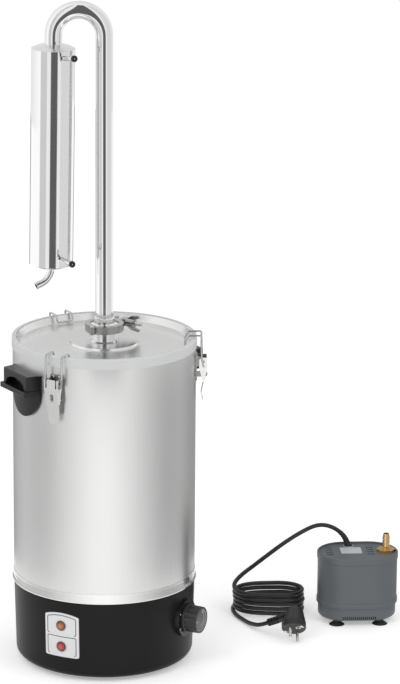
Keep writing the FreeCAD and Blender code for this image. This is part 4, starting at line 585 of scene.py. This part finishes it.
# print on the indicator panel: a frame line around each lamp's cell
panelLook = {
    "azimuth": -26.5, "foot": (0.005, 0.1322), "top": (0.123, 0.1352), "line": 0.0011,
    "lift": 0.00012, "corner": 0.0022, "cornerSteps": 5, "topSteps": 16,
    "cells": [{"half": 0.0232, "low": 0.0395, "shoulder": 0.0672, "arch": 0.0},
              {"half": 0.0232, "low": 0.0708, "shoulder": 0.0962, "arch": 0.0042}],
}


def cellOutline(cell, corner, cornerSteps, topSteps):
    # a closed line with round corners whose top edge may rise to an arch
    half, low, shoulder = cell["half"], cell["low"], cell["shoulder"]
    points = []
    for cx, cz, quarter in ((half - corner, shoulder - corner, 0),
                            (corner - half, shoulder - corner, 1),
                            (corner - half, low + corner, 2), (half - corner, low + corner, 3)):
        for i in range(cornerSteps + 1):
            a = math.pi / 2 * (quarter + i / cornerSteps)
            points.append((cx + corner * math.cos(a), cz + corner * math.sin(a)))
        if quarter == 0:
            for i in range(1, topSteps):
                points.append(((half - corner) * (1 - 2 * i / topSteps), shoulder))
    middle = (low + shoulder) / 2
    raised = []
    for x, z in points:
        lift = cell["arch"] * (1 - (x / half) ** 2) if z > middle else 0
        raised.append((x, z + lift))
    return raised


def buildPanelPrint(look):
    (lowZ, lowRadius), (highZ, highRadius) = look["foot"], look["top"]
    turn = Matrix.Rotation(math.radians(look["azimuth"]), 4, "Z")
    bm = bmesh.new()
    for cell in look["cells"]:
        points = cellOutline(cell, look["corner"], look["cornerSteps"], look["topSteps"])
        inner, outer = [], []
        for i, (x, z) in enumerate(points):
            before, after = points[i - 1], points[(i + 1) % len(points)]
            ahead = Vector((after[0] - before[0], after[1] - before[1])).normalized()
            across = Vector((ahead.y, -ahead.x)) * look["line"] / 2
            for side, sign in ((inner, -1), (outer, 1)):
                px, pz = x + sign * across.x, z + sign * across.y
                wall = lowRadius + (highRadius - lowRadius) * (pz - lowZ) / (highZ - lowZ)
                radius = wall + look["lift"]
                spot = Vector((px, -math.sqrt(radius ** 2 - px ** 2), pz))
                side.append(bm.verts.new(turn @ spot))
        for i in range(len(points)):
            j = (i + 1) % len(points)
            bm.faces.new((inner[i], outer[i], outer[j], inner[j]))
    finished(meshObject("panelPrint", bm), printDark, "boiler")


buildPanelPrint(panelLook)


# the knob's face: a grey disc in the recess, ticks, plain numbers, a small ring by its top, and a
# light ring round the disc's edge that is a painted highlight
knobLook = {
    "azimuth": 64, "height": 0.0765, "recess": 0.1597,
    "disc": {"hole": 0.0004, "radius": 0.0159, "rise": 0.0003, "wall": 0.6, "steps": 56},
    # the light ring round the disc's edge is a painted highlight on the recess rim
    "ring": {"inner": 0.0159, "outer": 0.0166, "rise": 0.0009},
    "spot": {"place": (0.0058, 0.0112), "inner": 0.0013, "outer": 0.0024, "rise": 2},
    "ticks": {"inner": 0.0128, "outer": 0.0148, "width": 0.0009, "rise": 1.5,
              "from": -76, "to": 44, "count": 9},
    "mark": {"inner": 0.0105, "outer": 0.0148, "width": 0.0013, "rise": 1.6, "angle": 180},
    "numbers": {"reach": 0.0098, "size": 0.0052, "weight": 0.00012, "rise": 1.3, "depth": 0.3,
                "from": -66, "to": 34, "count": 5},
}


def knobNumber(numbers, digit, rise):
    text = bpy.data.curves.new("knobNumber", "FONT")
    text.body = str(digit)
    text.size = numbers["size"]
    text.align_x, text.align_y = "CENTER", "CENTER"
    text.extrude = rise * numbers["depth"]
    text.offset = numbers["weight"]
    holder = bpy.data.objects.new("knobNumber", text)
    glyph = bpy.data.meshes.new_from_object(holder)
    bpy.data.objects.remove(holder)
    bpy.data.curves.remove(text)
    return glyph


def buildKnobFace(look):
    # the rises of the spot, ticks, mark and numbers are shares of the disc's
    face = facing(look["azimuth"], look["recess"], look["height"])
    disc, ring, spot = look["disc"], look["ring"], look["spot"]
    ticks, mark, numbers = look["ticks"], look["mark"], look["numbers"]
    rise = disc["rise"]
    bm = bmesh.new()
    turnedRing(bm, [(disc["hole"], 0), (disc["radius"], 0), (disc["radius"], rise * disc["wall"]),
                    (disc["radius"] - rise, rise), (disc["hole"], rise)], face, disc["steps"])
    finished(meshObject("knobDisc", bm), knobGrey, "knob")
    bm = bmesh.new()
    for i in range(ticks["count"]):
        angle = ticks["from"] + (ticks["to"] - ticks["from"]) * i / (ticks["count"] - 1)
        radialBar(bm, face, angle, ticks["inner"], ticks["outer"], ticks["width"], rise,
                  rise * ticks["rise"])
    radialBar(bm, face, mark["angle"], mark["inner"], mark["outer"], mark["width"], rise,
              rise * mark["rise"])
    # painted highlight: a light ring on the rim of the recess
    lowRing(bm, face, ring["inner"], ring["outer"], ring["rise"])
    lowRing(bm, face @ Matrix.Translation((*spot["place"], 0)), spot["inner"], spot["outer"],
            rise * spot["rise"])
    for i in range(numbers["count"]):
        angle = numbers["to"] + (numbers["from"] - numbers["to"]) * i / (numbers["count"] - 1)
        a = math.radians(angle)
        glyph = knobNumber(numbers, i + 1, rise)
        glyph.transform(face @ Matrix.Translation((math.cos(a) * numbers["reach"],
                                                   math.sin(a) * numbers["reach"],
                                                   rise * numbers["rise"])))
        bm.from_mesh(glyph)
        bpy.data.meshes.remove(glyph)
    finished(meshObject("knobMarksAndRimHighlight", bm, 20), lightPrintAndHighlight, "knob")


buildKnobFace(knobLook)


# two light marks on the dial plate, beside the knob
dialLook = {
    "azimuth": 64, "height": 0.0765, "face": 0.1375, "marks": [152, 207],
    "inner": 0.0232, "outer": 0.0266, "width": 0.0022, "rise": 0.0002,
}


def buildDialMarks(look):
    face = facing(look["azimuth"], look["face"], look["height"])
    bm = bmesh.new()
    for angle in look["marks"]:
        radialBar(bm, face, angle, look["inner"], look["outer"], look["width"], 0, look["rise"])
    finished(meshObject("dialMarks", bm), lightPrintAndHighlight, "boiler")


buildDialMarks(dialLook)
print("panel and knob detailed")


# black sleeves over the water stubs' mouths, painted shade for their dark insides, each with a
# small bright nickel dot in its hole as a painted highlight
stubShadeLook = {
    "inner": 0.0009, "outer": 0.0041, "rim": 0.0047, "back": 0.0026, "front": 0.0008,
    "wall": 0.4, "rimCut": 0.0005, "holeCut": 0.0006, "floor": 0.0001, "steps": 36,
    "dot": {"hole": 0.0001, "radius": 0.9, "rise": 0.5, "steps": 16},
    "ends": {
        "upperStubShade": {"place": (-0.04027, -0.05874, 0.91145), "ahead": (0.481, -0.864, 0.15)},
        "lowerStubShade": {"place": (-0.04404, -0.05947, 0.61203), "ahead": (0.485, -0.875, -0.007)},
    },
}


def buildStubEnd(name, look, place, ahead):
    tip = along(place, ahead)
    inner, outer, rim = look["inner"], look["outer"], look["rim"]
    front, back, floor, dot = look["front"], look["back"], look["floor"], look["dot"]
    wall = front * look["wall"]
    bm = bmesh.new()
    turnedRing(bm, [(outer, -back), (rim, -back), (rim, wall), (rim - look["rimCut"], front),
                    (inner + look["holeCut"], front), (inner, wall), (inner, floor),
                    (outer, floor)], tip, look["steps"])
    finished(meshObject(name, bm), shadeBlack, "column")
    bm = bmesh.new()
    # a bright nickel dot as a painted highlight in the hole
    lowRing(bm, tip, dot["hole"], inner * dot["radius"], front * dot["rise"], floor, dot["steps"])
    finished(meshObject(name + "Dot", bm), nickel, "column")


for name, end in stubShadeLook["ends"].items():
    buildStubEnd(name, stubShadeLook, **end)


# rolled lip on the spout's mouth and a black cup inside it, painted shade for its dark inside, as
# outlines of (radius, height)
spoutLook = {
    "place": (-0.09876, -0.00768, 0.56621), "ahead": (-0.864, -0.312, -0.395),
    "lip": [(0.0052, -0.0016), (0.00545, -0.0016), (0.00555, -0.0008), (0.00535, 0.0002),
            (0.00425, 0.0002), (0.00425, 0.00005), (0.0052, 0.00005)],
    "lipSteps": 40,
    "bore": [(0.0001, -0.006), (0.00415, -0.006), (0.00415, -0.0004), (0.0040, -0.0004),
             (0.0039, -0.0056), (0.0001, -0.0056)],
    "boreSteps": 32,
}


def buildSpoutLip(look):
    mouth = along(look["place"], look["ahead"])
    bm = bmesh.new()
    turnedRing(bm, look["lip"], mouth, look["lipSteps"])
    finished(meshObject("spoutLip", bm), polishedSteel, "column")
    # a black cup inside the mouth: painted shade
    bm = bmesh.new()
    turnedRing(bm, look["bore"], mouth, look["boreSteps"])
    finished(meshObject("spoutShadeCup", bm), shadeBlack, "column")


buildSpoutLip(spoutLook)
print("column ends detailed")


# bare rating plate on the pump's deck, held by two rivets
labelLook = {
    "pump": (0.383, 0.1555, 0.1065), "yaw": 4, "centre": (-0.0094, 0.007), "length": 0.0322,
    "width": 0.028, "corner": 0.0016, "lift": 0.00002, "rise": 0.00035,
    "rivets": (-0.0135, 0.0135), "rivetRadius": 0.0011, "rivetRise": 0.0006,
}


def buildLabel(look):
    pump = Matrix.Translation(Vector(look["pump"]))
    deck = pump @ Matrix.Rotation(math.radians(look["yaw"]), 4, "Z")
    deck = deck @ Matrix.Translation((*look["centre"], 0))
    bm = bmesh.new()
    roundedPlate(bm, look["length"], look["width"], look["corner"], look["lift"], look["rise"],
                 deck)
    finished(meshObject("pumpLabel", bm), labelFoil, "pump")
    bm = bmesh.new()
    for x in look["rivets"]:
        spot = deck @ Matrix.Translation((x, 0, look["rise"]))
        dome(bm, spot, look["rivetRadius"], look["rivetRise"])
    finished(meshObject("labelRivets", bm), nickel, "pump")


buildLabel(labelLook)


# pale collar around the gland, where the cord leaves the deck
collarLook = {"place": (0.3698, 0.1836, 0.1065), "inner": 0.0066, "outer": 0.0083, "rise": 0.0012}


def buildCollar(look):
    bm = bmesh.new()
    lowRing(bm, Matrix.Translation(Vector(look["place"])), look["inner"], look["outer"],
            look["rise"])
    finished(meshObject("glandCollar", bm), collarGrey, "pump")


buildCollar(collarLook)


# rivets that hold each latch to the vessel
rivetLook = {
    "azimuths": (-29, 91, 211), "level": 0.454, "plate": 0.1352, "sink": 0.00003,
    "spots": [(-0.0065, -0.0268), (0.0065, -0.0268), (-0.0048, 0.0072), (0.0048, 0.0072)],
    "radius": 0.0019, "rise": 0.0008,
}


def buildRivets(look):
    bm = bmesh.new()
    for azimuth in look["azimuths"]:
        for x, y in look["spots"]:
            aside = math.degrees(x / look["plate"])
            spot = facing(azimuth + aside, look["plate"] - look["sink"], look["level"] + y)
            dome(bm, spot, look["radius"], look["rise"])
    finished(meshObject("latchRivets", bm), nickel, "boiler")


buildRivets(rivetLook)


# weld down the vessel's back, a low rippled bead
seamLook = {
    "azimuth": 180, "low": 0.1375, "high": 0.4755, "wall": 0.134, "half": 0.0021,
    "lift": 0.00002, "rise": 0.00035, "ripple": 0.00008, "rippleTurn": 2.1,
    "steps": 240, "across": (-1, -0.6, 0, 0.6, 1),
}


def buildSeam(look):
    bm = bmesh.new()
    rows = []
    for i in range(look["steps"] + 1):
        z = look["low"] + (look["high"] - look["low"]) * i / look["steps"]
        wave = look["ripple"] * math.sin(i * look["rippleTurn"])
        row = []
        for share in look["across"]:
            rise = (look["rise"] + wave) * (1 - share ** 2)
            aside = math.degrees(share * look["half"] / look["wall"])
            place = around(look["azimuth"] + aside, look["wall"] + look["lift"] + rise, z)
            row.append(bm.verts.new(place))
        rows.append(row)
    for here, there in zip(rows, rows[1:]):
        for k in range(len(look["across"]) - 1):
            bm.faces.new((here[k], here[k + 1], there[k + 1], there[k]))
    finished(meshObject("vesselSeam", bm, 80), weldSteel, "boiler")


buildSeam(seamLook)
print("small parts detailed")


# stage and light
def seenRay(tree):
    # one for rays that show a surface: straight, mirrored or through glass
    path = addNode(tree, "ShaderNodeLightPath")
    mirrored = addMath(tree, "MAXIMUM", path.outputs["Is Camera Ray"],
                       path.outputs["Is Glossy Ray"])
    return addMath(tree, "MAXIMUM", mirrored, path.outputs["Is Transmission Ray"])


floorLook = {
    "size": 12.0, "place": (0.14, 0.5, -0.0002), "colour": 0.93, "roughness": 0.9, "glow": 0.34,
}


def buildFloor(look):
    bm = bmesh.new()
    bmesh.ops.create_grid(bm, x_segments=1, y_segments=1, size=look["size"] / 2)
    floor = meshObject("floor", bm)
    floor.location = look["place"]
    material, tree, shader = newMaterial("floorWhite")
    tone = look["colour"]
    shader.inputs["Base Color"].default_value = (tone, tone, tone, 1)
    shader.inputs["Roughness"].default_value = look["roughness"]
    shader.inputs["Specular IOR Level"].default_value = 0.0
    seen = seenRay(tree)
    glow = addNode(tree, "ShaderNodeEmission", [
        ("Color", (1, 1, 1, 1)), ("Strength", look["glow"])])
    none = addNode(tree, "ShaderNodeEmission", [("Color", (0, 0, 0, 1)), ("Strength", 0.0)])
    lift = addNode(tree, "ShaderNodeMixShader", [
        (0, seen), (1, none.outputs[0]), (2, glow.outputs[0])])
    total = addNode(tree, "ShaderNodeAddShader", [(0, shader.outputs[0]), (1, lift.outputs[0])])
    output = next(node for node in tree.nodes if node.bl_idname == "ShaderNodeOutputMaterial")
    tree.links.new(total.outputs[0], output.inputs["Surface"])
    setMaterial(floor, material)


# studio panels all around, which only reflections see; the stops are (azimuth, level)
ringLook = {
    "steps": 96, "strength": 1.6,
    "rings": {
        "lowPanels": {"radius": 0.5, "low": -0.05, "high": 0.38, "stops": [
            (-180, 0.28), (-147, 0.34), (-124, 0.58), (-105, 0.7), (-85, 0.62), (-65, 0.62),
            (-50, 0.78), (-30, 0.98), (-10, 1.2), (5, 1.22), (20, 1.1), (35, 0.9), (50, 0.7),
            (71, 0.49), (85, 0.5), (100, 0.55), (120, 0.4), (150, 0.34), (180, 0.28)]},
        "middlePanels": {"radius": 0.8, "low": 0.3, "high": 0.66, "stops": [
            (-180, 0.26), (-150, 0.26), (-132, 1.2), (-68, 1.2), (-64, 0.72), (-34, 0.72),
            (-32, 1.0), (-15, 1.0), (-13, 0.13), (20, 0.13), (22, 1.0), (36, 1.0), (40, 0.82),
            (102, 0.82), (120, 1.15), (155, 1.15), (160, 0.3), (180, 0.3)]},
        "topPanels": {"radius": 0.8, "low": 0.66, "high": 3.2, "stops": [
            (-180, 0.87), (-132, 0.95), (-68, 1.2), (-64, 0.72), (-34, 0.72), (-32, 1.0),
            (-15, 1.0), (-13, 0.13), (20, 0.13), (22, 1.0), (36, 1.0), (40, 0.82), (102, 0.82),
            (120, 1.0), (155, 0.87), (180, 0.87)]},
    },
}


def buildRing(name, look, radius, low, high, stops):
    bm = bmesh.new()
    steps = look["steps"]
    foot = [bm.verts.new(around(360 * i / steps, radius, low)) for i in range(steps)]
    head = [bm.verts.new(around(360 * i / steps, radius, high)) for i in range(steps)]
    for i in range(steps):
        j = (i + 1) % steps
        bm.faces.new((foot[i], foot[j], head[j], head[i]))
    panels = meshObject(name, bm, smoothAngle=180)
    material = bpy.data.materials.new(name + "Glow")
    material.use_nodes = True
    tree = material.node_tree
    tree.nodes.clear()
    place = addNode(tree, "ShaderNodeTexCoord")
    parts = addNode(tree, "ShaderNodeSeparateXYZ", [(0, place.outputs["Object"])])
    share = addNode(tree, "ShaderNodeMapRange", [
        ("Value", azimuthOf(tree, parts)), ("From Min", -math.pi), ("From Max", math.pi)])
    ramp = addNode(tree, "ShaderNodeValToRGB", [("Fac", share.outputs[0])])
    elements = ramp.color_ramp.elements  # starts with one stop at each end
    for i, (degrees, level) in enumerate(stops):
        if i == 0:
            stop = elements[0]
        elif i == len(stops) - 1:
            stop = elements[len(elements) - 1]
        else:
            stop = elements.new((degrees + 180) / 360)
        shown = level / look["strength"]
        stop.color = (shown, shown, shown, 1)
    glow = addNode(tree, "ShaderNodeEmission", [
        ("Color", ramp.outputs["Color"]), ("Strength", look["strength"])])
    output = addNode(tree, "ShaderNodeOutputMaterial")
    tree.links.new(glow.outputs[0], output.inputs["Surface"])
    setMaterial(panels, material)
    for ray in ("camera", "diffuse", "shadow", "transmission", "volume_scatter"):
        setattr(panels, "visible_" + ray, False)


# plain light: a white world, dimmer for rays that only light the surfaces, and two soft lamps
lightLook = {
    "unseen": 0.72, "seen": 1.0, "target": (0.1, 0, 0.4),
    "lamps": {
        "keyLamp": {"place": (-1.6, -2.2, 2.6), "size": (1.4, 1.4), "power": 22},
        "fillLamp": {"place": (2.0, -1.6, 2.0), "size": (1.2, 1.6), "power": 10},
    },
}


def addLamp(name, target, place, size, power):
    data = bpy.data.lights.new(name, "AREA")
    data.shape = "RECTANGLE"
    data.size, data.size_y = size
    data.energy = power
    lamp = link(bpy.data.objects.new(name, data))
    lamp.location = place
    lamp.rotation_euler = (Vector(target) - Vector(place)).to_track_quat("-Z", "Y").to_euler()


def buildLight(look):
    world = bpy.data.worlds.new("studio")
    scene.world = world
    world.use_nodes = True
    tree = world.node_tree
    tree.nodes.clear()
    strength = addNode(tree, "ShaderNodeMapRange", [
        ("Value", seenRay(tree)), ("To Min", look["unseen"]), ("To Max", look["seen"])])
    back = addNode(tree, "ShaderNodeBackground", [
        ("Color", (1, 1, 1, 1)), ("Strength", strength.outputs[0])])
    output = addNode(tree, "ShaderNodeOutputWorld")
    tree.links.new(back.outputs[0], output.inputs["Surface"])
    for name, lamp in look["lamps"].items():
        addLamp(name, look["target"], **lamp)


buildFloor(floorLook)
for name, ring in ringLook["rings"].items():
    buildRing(name, ringLook, **ring)
buildLight(lightLook)
print("stage and light set")

bpy.context.view_layer.update()
